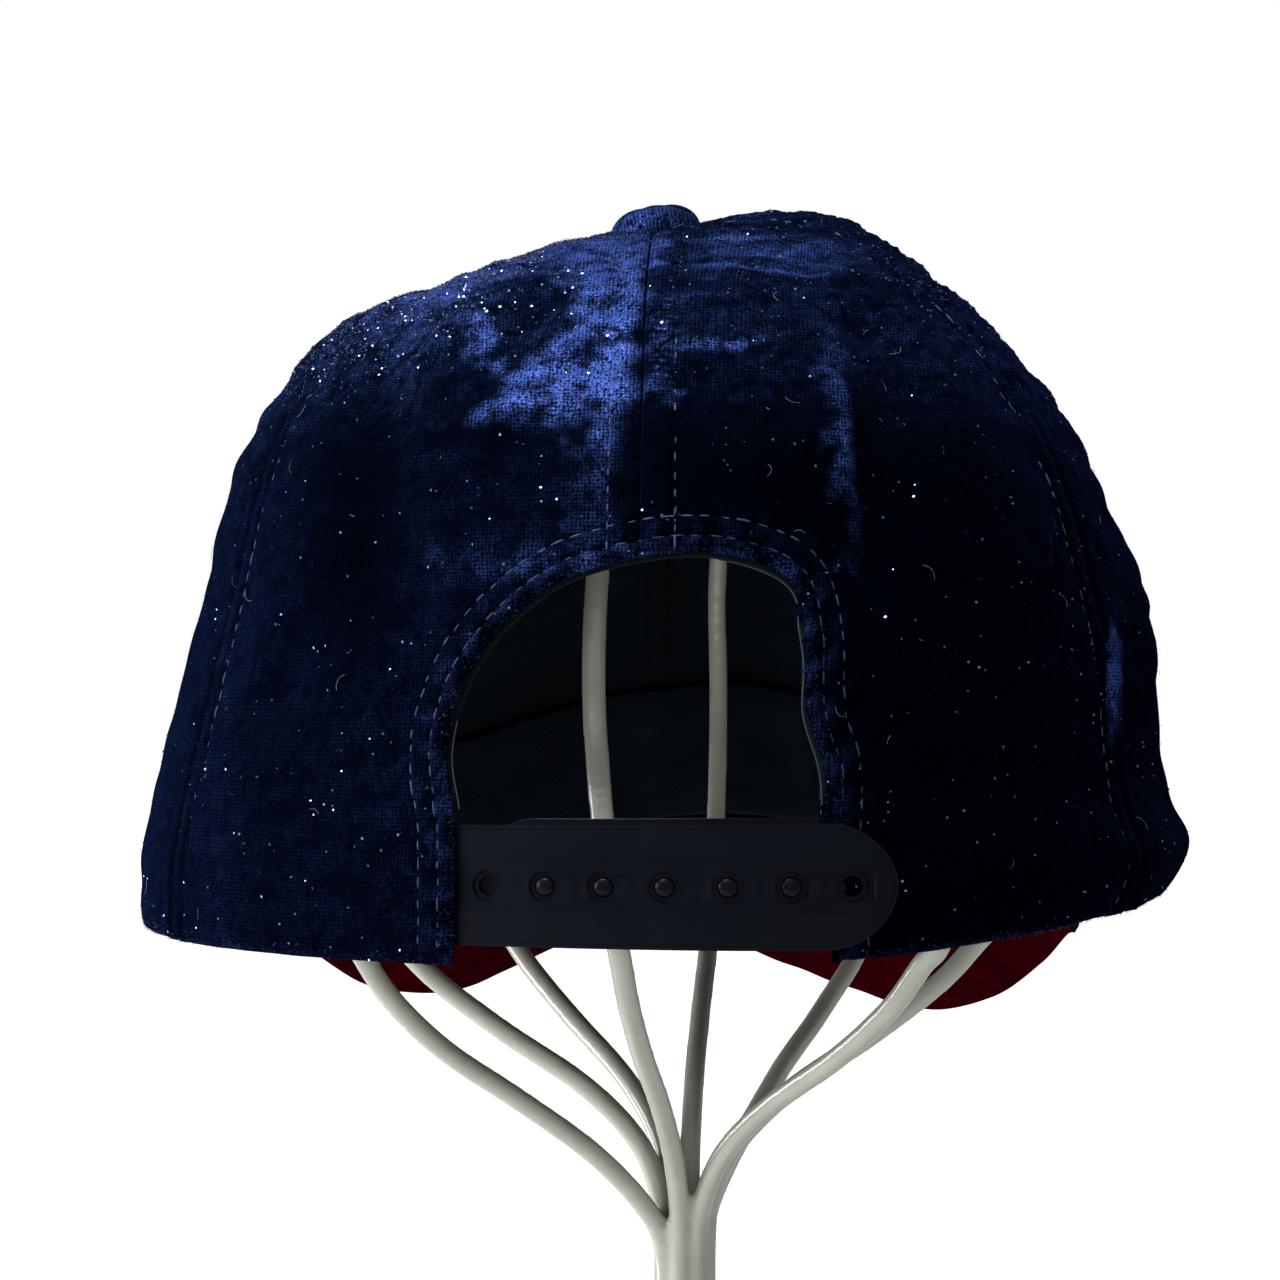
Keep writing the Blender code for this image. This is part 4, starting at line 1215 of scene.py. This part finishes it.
# Stand
stand = {
    "wire": 0.0040,
    "hubDrop": 0.070,
    "hubRing": 0.0039,
    "cageClearance": 0.0135,
    "postRadius": 0.0058,
    "bossRadius": 0.0072,
    "bossThickness": 0.0052,
    "baseRadius": 0.078,
    "baseThickness": 0.004,
    "voxel": 0.00068,       # the dip coat bridges anything closer than about this
    "soften": 5,
    "flare": ((-1.00, 0.00), (-0.87, 0.01), (-0.756, 0.07), (-0.613, 0.215), (-0.47, 0.423), (-0.33, 0.65),
              (-0.194, 0.812), (-0.077, 0.904), (0.00, 0.958)),
    "dome": ((0.16, 0.995), (0.34, 1.000), (0.52, 0.955), (0.68, 0.860), (0.81, 0.700), (0.90, 0.500),
             (0.965, 0.270)),
    "wires": ((10.5, 0.82, 1.30, 0), (60.0, 0.97, 0.92, 0), (96.0, 0.89, 1.63, 0), (141.0, 0.99, 1.75, -9.0),
              (184.5, 0.90, 1.89, 0), (217.0, 0.94, 1.17, 0), (268.0, 0.87, 1.52, 0), (321.0, 1.01, 1.34, 0)),
}


def newTree(name, inputs):
    # an empty geometry tree with named inputs of (name, kind, value)
    tree = bpy.data.node_groups.new(name, "GeometryNodeTree")
    tree.interface.new_socket("Geometry", in_out="OUTPUT", socket_type="NodeSocketGeometry")
    tree.interface.new_socket("Geometry", in_out="INPUT", socket_type="NodeSocketGeometry")
    for label, kind, value in inputs:
        socket = tree.interface.new_socket(label, in_out="INPUT", socket_type="NodeSocket" + kind)
        if value is not None:
            socket.default_value = value
    return tree, tree.nodes.new("NodeGroupInput").outputs, tree.nodes.new("NodeGroupOutput").inputs


def runTree(source, tree, name, **values):
    # the tree's result on this object as a plain mesh
    step = source.modifiers.new("tree", "NODES")
    step.node_group = tree
    for item in tree.interface.items_tree:
        if item.item_type == "SOCKET" and item.in_out == "INPUT" and item.name in values:
            step[item.identifier] = values[item.name]
    source.update_tag()
    return applied(source, name)


def wireTree():
    tree, given, result = newTree("wireAlongPath", (("Radius", "Float", 0.002), ("Sides", "Int", 20),
                                                   ("Finish", "Material", None)))
    ring = addNode(tree, "GeometryNodeCurvePrimitiveCircle", None, {"Resolution": given["Sides"],
                                                                    "Radius": given["Radius"]})
    line = addNode(tree, "GeometryNodeMeshToCurve", None, {"Mesh": given["Geometry"]})
    tube = addNode(tree, "GeometryNodeCurveToMesh", {"Fill Caps": True},
                   {"Curve": line.outputs[0], "Profile Curve": ring.outputs[0]})
    real = addNode(tree, "GeometryNodeRealizeInstances", None, {"Geometry": tube.outputs[0]})
    done = addNode(tree, "GeometryNodeSetMaterial", None, {"Geometry": real.outputs[0],
                                                           "Material": given["Finish"]})
    tree.links.new(done.outputs[0], result["Geometry"])
    return tree


def bossTop():
    heights = []
    for turn in range(0, 360, 15):
        x = stand["bossRadius"] * math.sin(math.radians(turn)) - crown["shift"]
        y = stand["bossRadius"] * math.cos(math.radians(turn))
        angle = math.degrees(math.atan2(x, y))
        heights.append(crownBase(angle, within(angle, math.hypot(x, y)))[2] - crown["wall"] * 1.1)
    return min(heights) + crown["rimHeight"] - 0.0003


def wireRoute(number, endHeight, count=110):
    azimuth, spread, hug, aside = stand["wires"][number]
    regular = 360 / len(stand["wires"]) * number + stand["wires"][0][0]
    reach = halfWidth - crown["shift"] - crown["wall"] - stand["cageClearance"]
    rim = crown["rimHeight"]
    rows = []
    for rise, share in stand["flare"]:
        radius = stand["hubRing"] + (reach * spread - stand["hubRing"]) * share**hug
        rows.append((radius, rim + rise * stand["hubDrop"],
                     regular + (azimuth - regular) * min(1.0, share * 2)))
    rows[0] = (stand["hubRing"], rows[0][1] - 0.004, regular)
    for rise, share in stand["dome"]:
        settled = spread + (1 - spread) * float(ease(rise / 0.3))
        inside = azimuth + aside * float(ease(rise / 0.16))
        turn = inside + (regular - inside) * float(ease((rise - 0.5) / 0.5))
        rows.append((reach * share * settled, rim + rise * (endHeight - rim), turn))
    rows.append((stand["bossRadius"] * 0.6, endHeight, regular))
    radii, heights, turns = np.array(rows).T
    place = np.linspace(0, 1, count)
    turn = np.radians(smoothThrough(turns, place))
    radius = smoothThrough(radii, place)
    return np.stack([radius * np.sin(turn), radius * np.cos(turn), smoothThrough(heights, place)], axis=-1)


def polylines(name, lines):
    # several open lines of points in one mesh
    points = np.concatenate(lines)
    edges, first = [], 0
    for line in lines:
        edges += [(first + k, first + k + 1) for k in range(len(line) - 1)]
        first += len(line)
    mesh = bpy.data.meshes.new(name)
    mesh.from_pydata(points.tolist(), edges, [])
    return placed(name, mesh)


def lathe(name, profile, steps):
    # a profile of (radius, height) turned about Z
    turn = np.linspace(0, 2 * math.pi, steps, endpoint=False)[:, None]
    radius = np.array([reach for reach, height in profile])[None, :]
    height = np.array([height for reach, height in profile])[None, :]
    points = np.stack([radius * np.sin(turn), radius * np.cos(turn), height + 0 * turn], axis=-1)
    maps = np.stack([turn * 0.05 + 0 * radius, radius + height + 0 * turn], axis=-1)
    return cleaned(gridObject(name, points, maps, closed=True, flip=True), merge=0.00001)


def dipStand():
    top = bossTop()
    endHeight = top - stand["bossThickness"] / 2
    lines = [wireRoute(number, endHeight) for number in range(len(stand["wires"]))]
    wires = runTree(polylines("wirePaths", lines), wireTree(), "cageWires",
                    Radius=stand["wire"] / 2, Sides=20, Finish=finishes["dip"])
    hubTop = crown["rimHeight"] - stand["hubDrop"]
    post = stand["postRadius"]
    foot = stand["baseThickness"]
    column = lathe("post", [
        (0.0, hubTop + 0.001), (post * 0.75, hubTop), (post, hubTop - 0.0015), (post, foot + 0.014),
        (post * 1.08, foot + 0.008), (post * 1.45, foot + 0.0035), (post * 1.85, foot + 0.0012),
        (post * 1.9, foot - 0.0010), (0.0, foot - 0.0010),
    ], 40)
    cap = stand["bossRadius"]
    boss = lathe("boss", [
        (0.0, top), (cap - 0.0016, top - 0.0001), (cap - 0.0004, top - 0.0007), (cap, top - 0.0018),
        (cap, top - 0.0036), (cap - 0.0006, top - 0.0047), (cap - 0.002, top - stand["bossThickness"]),
        (0.0, top - stand["bossThickness"]),
    ], 32)
    cage = joined("cageRaw", (wires, column, boss))
    fuse = cage.modifiers.new("dip", "REMESH")
    fuse.mode = "VOXEL"
    fuse.voxel_size = stand["voxel"]
    smooth = cage.modifiers.new("run", "SMOOTH")
    smooth.iterations = stand["soften"]
    smooth.factor = 0.5
    cage = applied(cage, "dippedWireStand")
    cage.data.shade_smooth()
    giveMaterials(cage, finishes["dip"])
    print("stand faces", len(cage.data.polygons))
    names = [f"stand_wire_{number + 1}" for number in range(len(stand["wires"]))]
    finishPiece(cage, "dipped_steel", "stand_post", "stand_boss", *names)
    reach, thick = stand["baseRadius"], stand["baseThickness"]
    plate = lathe("dippedBasePlate", [
        (0.0, thick), (0.02, thick), (reach - 0.0040, thick), (reach - 0.0022, thick - 0.0002),
        (reach - 0.0008, thick - 0.0009), (reach - 0.0001, thick - 0.0019), (reach, thick * 0.35),
        (reach - 0.0003, 0.0004), (reach - 0.001, 0.0), (0.0, 0.0),
    ], 128)
    plate.data.set_sharp_from_angle(angle=math.radians(50))
    giveMaterials(plate, finishes["dip"])
    finishPiece(plate, "dipped_steel", "stand_base")


dipStand()
print("stand dipped")

# Stitches, glitter, lint and stray pile
sewing = {
    "pitch": 0.0030,
    "length": 0.0025,
    "width": 0.00042,
    "height": 0.00034,
    "sink": 0.00001,       # how deep each row lies in the pile
    "seed": 4,
}
dust = {
    "lift": 0.00012,       # what lies on the pile stands this far off the cloth
    "flakes": 150000.0,    # for each square metre of cloth
    "flakeRadius": 0.00020,
    "flakeTilt": 0.55,
    "lint": 1700.0,
    "lintReach": 0.0016,
    "lintRadius": 0.000035,
    "lintTilt": 0.3,
    "fibres": 1900000.0,
    "fibreLength": 0.00085,
    "fibreRadius": 0.000045,
    "fibreTilt": 0.7,
    "fibreRoot": 0.0001,   # its foot under the cloth's face
}


def stitchTree():
    tree, given, result = newTree("stitchesAlongRows", (
        ("Pitch", "Float", 0.003), ("Length", "Float", 0.0025), ("Width", "Float", 0.0004),
        ("Height", "Float", 0.0003), ("Seed", "Int", 0), ("Finish", "Material", None)))
    line = addNode(tree, "GeometryNodeMeshToCurve", None, {"Mesh": given["Geometry"]})
    rows = addNode(tree, "GeometryNodeResampleCurve", None,
                   {"Curve": line.outputs[0], "Length": given["Pitch"]}, mode="LENGTH")
    out = addNode(tree, "GeometryNodeInputNamedAttribute", {"Name": "out"}, data_type="FLOAT_VECTOR")
    tangent = addNode(tree, "GeometryNodeInputTangent")
    upright = addNode(tree, "FunctionNodeAlignRotationToVector", None, {"Vector": out.outputs[0]}, axis="Z")
    turned = addNode(tree, "FunctionNodeAlignRotationToVector", None,
                     {"Rotation": upright.outputs[0], "Vector": tangent.outputs[0]}, axis="X", pivot_axis="Z")
    size = addNode(tree, "ShaderNodeCombineXYZ", None, {"X": given["Length"], "Y": given["Width"],
                                                        "Z": given["Height"]})
    bead = addNode(tree, "GeometryNodeMeshUVSphere", {"Segments": 8, "Rings": 6, "Radius": 0.5})
    thread = addNode(tree, "GeometryNodeTransform", None,
                     {"Geometry": bead.outputs[0], "Scale": size.outputs[0]})
    uneven = addNode(tree, "FunctionNodeRandomValue", {0: (0.66, 0.7, 0.30), 1: (1.08, 1.1, 1.15)},
                     {"Seed": given["Seed"]}, data_type="FLOAT_VECTOR")
    sewn = addNode(tree, "GeometryNodeInstanceOnPoints", None,
                   {"Points": rows.outputs[0], "Instance": thread.outputs[0], "Rotation": turned.outputs[0],
                    "Scale": uneven.outputs[0]})
    real = addNode(tree, "GeometryNodeRealizeInstances", None, {"Geometry": sewn.outputs[0]})
    soft = addNode(tree, "GeometryNodeSetShadeSmooth", None, {"Geometry": real.outputs[0]})
    done = addNode(tree, "GeometryNodeSetMaterial", None, {"Geometry": soft.outputs[0],
                                                           "Material": given["Finish"]})
    tree.links.new(done.outputs[0], result["Geometry"])
    return tree


def scatterTree(name, shape):
    # shape(tree, given) adds what is scattered; an attribute named in Spread scales the density
    tree, given, result = newTree(name, (
        ("Density", "Float", 1000.0), ("Size", "Float", 0.001), ("Radius", "Float", 0.0001),
        ("Tilt", "Float", 0.3), ("Lift", "Float", 0.0), ("Seed", "Int", 0), ("Spread", "String", ""),
        ("Finish", "Material", None)))
    spread = addNode(tree, "GeometryNodeInputNamedAttribute", None,
                     {"Name": given["Spread"]}, data_type="FLOAT")
    density = addNode(tree, "ShaderNodeMath", None, {0: given["Density"], 1: spread.outputs[0]},
                      operation="MULTIPLY")
    points = addNode(tree, "GeometryNodeDistributePointsOnFaces", None,
                     {"Mesh": given["Geometry"], "Density": density.outputs[0], "Seed": given["Seed"]},
                     distribute_method="RANDOM")
    least = addNode(tree, "ShaderNodeMath", {1: -1.0}, {0: given["Tilt"]}, operation="MULTIPLY")
    low = addNode(tree, "ShaderNodeCombineXYZ", None, {"X": least.outputs[0], "Y": least.outputs[0]})
    high = addNode(tree, "ShaderNodeCombineXYZ", {"Z": 6.283}, {"X": given["Tilt"], "Y": given["Tilt"]})
    lean = addNode(tree, "FunctionNodeRandomValue", None, {0: low.outputs[0], 1: high.outputs[0],
                                                           "Seed": given["Seed"]}, data_type="FLOAT_VECTOR")
    asTurn = addNode(tree, "FunctionNodeEulerToRotation", None, {0: lean.outputs[0]})
    turned = addNode(tree, "FunctionNodeRotateRotation", None,
                     {0: points.outputs["Rotation"], 1: asTurn.outputs[0]}, rotation_space="LOCAL")
    scale = addNode(tree, "FunctionNodeRandomValue", {2: 0.65, 3: 1.25}, {"Seed": given["Seed"]},
                    data_type="FLOAT")
    strewn = addNode(tree, "GeometryNodeInstanceOnPoints", None,
                     {"Points": points.outputs["Points"], "Instance": shape(tree, given),
                      "Rotation": turned.outputs[0], "Scale": scale.outputs[1]})
    real = addNode(tree, "GeometryNodeRealizeInstances", None, {"Geometry": strewn.outputs[0]})
    done = addNode(tree, "GeometryNodeSetMaterial", None, {"Geometry": real.outputs[0],
                                                           "Material": given["Finish"]})
    tree.links.new(done.outputs[0], result["Geometry"])
    return tree


def raised(tree, given, geometry):
    # moved out along its own Z by the Lift input
    move = addNode(tree, "ShaderNodeCombineXYZ", None, {"Z": given["Lift"]})
    return addNode(tree, "GeometryNodeTransform", None,
                   {"Geometry": geometry, "Translation": move.outputs[0]}).outputs[0]


def flakeShape(tree, given):
    flake = addNode(tree, "GeometryNodeMeshCircle", {"Vertices": 6}, {"Radius": given["Radius"]},
                    fill_type="NGON")
    return raised(tree, given, flake.outputs[0])


def fibreShape(tree, given):
    fibre = addNode(tree, "GeometryNodeMeshCone", {"Vertices": 3, "Radius Top": 0.0},
                    {"Radius Bottom": given["Radius"], "Depth": given["Size"]}, fill_type="NONE")
    return raised(tree, given, fibre.outputs[0])


def lintShape(tree, given):
    arc = addNode(tree, "GeometryNodeCurveArc", {"Resolution": 7, "Start Angle": 0.0, "Sweep Angle": 1.9},
                  {"Radius": given["Size"]}, mode="RADIUS")
    ring = addNode(tree, "GeometryNodeCurvePrimitiveCircle", {"Resolution": 3}, {"Radius": given["Radius"]})
    hair = addNode(tree, "GeometryNodeCurveToMesh", None, {"Curve": arc.outputs[0],
                                                           "Profile Curve": ring.outputs[0]})
    return raised(tree, given, hair.outputs[0])


def rowOnCloth(angle, station, back=False):
    # points of a stitched row on the finished cloth, with the way out
    points = clothPoint(angle, station, back=back, out=-sewing["sink"])
    return points, clothNormal(angle, station)


def seamRows():
    rows = []
    for seam in (60, 120, 180, 240, 300):
        for side in (-1, 1):
            run = np.linspace(0.0035, crownRun - 0.012, 160)
            station = stationOfRun(run)
            angle = seam + side * np.degrees(crown["seamStitch"] / planRadius(station))
            rows.append(rowOnCloth(angle, station))
    for side in (-1, 1):     # beside the back seam, over the facing and down to the opening's edge
        run = np.linspace(0, crownRun - 0.012, 160)
        station = stationOfRun(run)
        angle = side * np.degrees(crown["seamStitch"] / planRadius(station))
        points = crownBase(angle, station)
        keep = points[:, 2] > opening["height"] + 0.0006
        rows.append(rowOnCloth(angle[keep], station[keep], back=True))
    return rows


def openingRows():
    rows = []
    for margin in (opening["firstStitch"], opening["secondStitch"]):
        line = archOffset(margin)
        line = line[line[:, 1] > 0.0016]
        angle, station = backAt(line[:, 0], line[:, 1])
        rows.append(rowOnCloth(angle, station, back=True))
    return rows


def sew(name, rows, slotName, finish):
    source = polylines(name + "Rows", [points for points, out in rows])
    out = source.data.attributes.new("out", "FLOAT_VECTOR", "POINT")
    out.data.foreach_set("vector", np.concatenate([out for points, out in rows]).astype(np.float32).ravel())
    piece = runTree(source, stitchTree(), name, Pitch=sewing["pitch"], Length=sewing["length"],
                    Width=sewing["width"], Height=sewing["height"], Seed=sewing["seed"], Finish=finish)
    return finishPiece(piece, slotName)


def scatter(source, name, tree, **values):
    work = placed(name + "Cloth", source.data.copy())
    piece = runTree(work, tree, name, **values)
    print(name, len(piece.data.polygons), "faces")
    return finishPiece(piece, "navy_velvet")


def layTapeEdge():
    line = archOffset(-facing["selvedgePeek"])
    right = (line[:, 0] < -0.012) & (line[:, 1] > 0.022)
    left = (line[:, 0] > 0.020) & (line[:, 1] > 0.022) & (line[:, 1] < 0.036)
    paths = []
    for kept, drift in ((right, 0.0005), (left, 0.0002)):
        part = line[kept] + drift * ripple(line[kept][:, 1], 0 * line[kept][:, 1], 0.014, 71)[:, None]
        angle, station = backAt(part[:, 0], part[:, 1])
        paths.append(capPoint(angle, station, -crown["wall"]))
    piece = runTree(polylines("tapeEdges", paths), wireTree(), "facingTapeEdge",
                    Radius=facing["selvedge"], Sides=6, Finish=finishes["selvedge"])
    piece.data.shade_smooth()
    finishPiece(piece, "lining_twill")


layTapeEdge()
sew("crownSeamStitches", seamRows(), "navy_velvet", finishes["thread"])
sew("openingStitches", openingRows(), "navy_velvet", finishes["thread"])
outerCloth = joined("outerCloth", clothSheets)
scatter(outerCloth, "glitterFlakes", scatterTree("flakesOnCloth", flakeShape), Density=dust["flakes"],
        Radius=dust["flakeRadius"], Tilt=dust["flakeTilt"], Lift=dust["lift"], Seed=7, Spread="spark",
        Finish=finishes["flake"])
scatter(outerCloth, "lintHairs", scatterTree("hairsOnCloth", lintShape), Density=dust["lint"],
        Size=dust["lintReach"], Radius=dust["lintRadius"], Tilt=dust["lintTilt"], Lift=dust["lift"], Seed=9,
        Spread="lint", Finish=finishes["lint"])
scatter(outerCloth, "strayPile", scatterTree("fibresOnCloth", fibreShape), Density=dust["fibres"],
        Size=dust["fibreLength"], Radius=dust["fibreRadius"], Tilt=dust["fibreTilt"], Lift=-dust["fibreRoot"],
        Seed=3, Spread="fuzz", Finish=finishes["fibre"])
bpy.data.objects.remove(outerCloth, do_unlink=True)
print("stitches, glitter and lint laid")

# Studio
view = {
    "yaw": 2.0,            # the photograph looks a little from the wearer's left
    "pitch": 1.19,
    "distance": 0.525,
    "aside": 0.003,
    "over": 0.039,
    "lens": 79.57,
}


def placeCamera():
    yaw, pitch = math.radians(view["yaw"]), math.radians(view["pitch"])
    backward = Vector((-math.sin(yaw), math.cos(yaw), 0))
    sideways = (-backward).cross(Vector((0, 0, 1)))
    spot = Vector(capPlace) + backward * view["distance"] - sideways * view["aside"]
    spot.z += view["over"]
    forward = -backward * math.cos(pitch) + Vector((0, 0, 1)) * math.sin(pitch)
    data = bpy.data.cameras.new("camera")
    data.lens = view["lens"]
    data.sensor_width = 36
    camera = bpy.data.objects.new("camera", data)
    camera.location = spot
    camera.rotation_euler = forward.to_track_quat("-Z", "Y").to_euler()
    bpy.context.scene.collection.objects.link(camera)
    bpy.context.scene.camera = camera


studio = {
    "floorTone": "#efefef",
    "floorHalf": 6.0,
    "floorFades": (0.25, 0.62),    # between these distances the floor turns plain white for the camera
    "ambient": 0.11,
    "mirrored": 0.30,      # more of the pale room, seen only in gloss
    "lamps": (             # name, place, what it points at, size, watts, colour
        ("overheadKey", (0.22, 0.30, 1.05), (0.02, 0.05, 0.28), (0.45, 0.35), 9.5, (1, 1, 1)),
        ("wireEdge", (0.42, -0.12, 0.10), (0, 0, 0.13), (0.10, 0.30), 0.9, (0.93, 0.96, 1.0)),
        ("softFill", (0.95, 0.40, 0.42), (0, 0, 0.20), (0.45, 0.45), 6.5, (1, 1, 1)),
    ),
}


def areaLight(name, spot, target, size, power, colour):
    data = bpy.data.lights.new(name, "AREA")
    data.shape = "RECTANGLE"
    data.size, data.size_y = size
    data.energy = power
    data.color = colour
    light = bpy.data.objects.new(name, data)
    light.location = spot
    light.rotation_euler = (Vector(target) - Vector(spot)).to_track_quat("-Z", "Y").to_euler()
    bpy.context.scene.collection.objects.link(light)


def buildStudio():
    world = bpy.data.worlds.new("paleStudio")
    world.use_nodes = True
    bpy.context.scene.world = world
    tree = world.node_tree
    tree.nodes.clear()
    path = addNode(tree, "ShaderNodeLightPath")
    mirrored = addNode(tree, "ShaderNodeMath", {1: studio["mirrored"], 2: studio["ambient"]},
                       {0: path.outputs["Is Glossy Ray"]}, operation="MULTIPLY_ADD")
    strength = addNode(tree, "ShaderNodeMix", {"B": 1.0},
                       {"Factor": path.outputs["Is Camera Ray"], "A": mirrored.outputs[0]})
    shade = addNode(tree, "ShaderNodeBackground", {"Color": (1, 1, 1, 1)}, {"Strength": strength.outputs[0]})
    addNode(tree, "ShaderNodeOutputWorld", None, {"Surface": shade.outputs[0]})

    mesh = bpy.data.meshes.new("studioFloor")
    reach = studio["floorHalf"]
    mesh.from_pydata([(-reach, -reach, 0), (reach, -reach, 0), (reach, reach, 0), (-reach, reach, 0)], [],
                     [(0, 1, 2, 3)])
    floor = placed("studioFloor", mesh)
    material, tree, shader = newMaterial("paleSweep", Roughness=0.9)   # matt painted board
    shader.inputs["Base Color"].default_value = linear(studio["floorTone"])
    shader.inputs["Emission Color"].default_value = (1, 1, 1, 1)
    spot = addNode(tree, "ShaderNodeTexCoord")
    reachOut = addNode(tree, "ShaderNodeVectorMath", None, {0: spot.outputs["Object"]}, operation="LENGTH")
    near, plain = studio["floorFades"]
    far = addNode(tree, "ShaderNodeMapRange", {"From Min": near, "From Max": plain},
                  {"Value": reachOut.outputs["Value"]}, interpolation_type="SMOOTHSTEP")
    path = addNode(tree, "ShaderNodeLightPath")
    glow = addNode(tree, "ShaderNodeMath", None, {0: path.outputs["Is Camera Ray"], 1: far.outputs[0]},
                   operation="MULTIPLY")
    tree.links.new(glow.outputs[0], shader.inputs["Emission Strength"])
    giveMaterials(floor, material)

    for lamp in studio["lamps"]:
        areaLight(*lamp)


bpy.context.scene.view_settings.view_transform = "Standard"   # a product shot's plain colours
placeCamera()
buildStudio()
print("studio set")
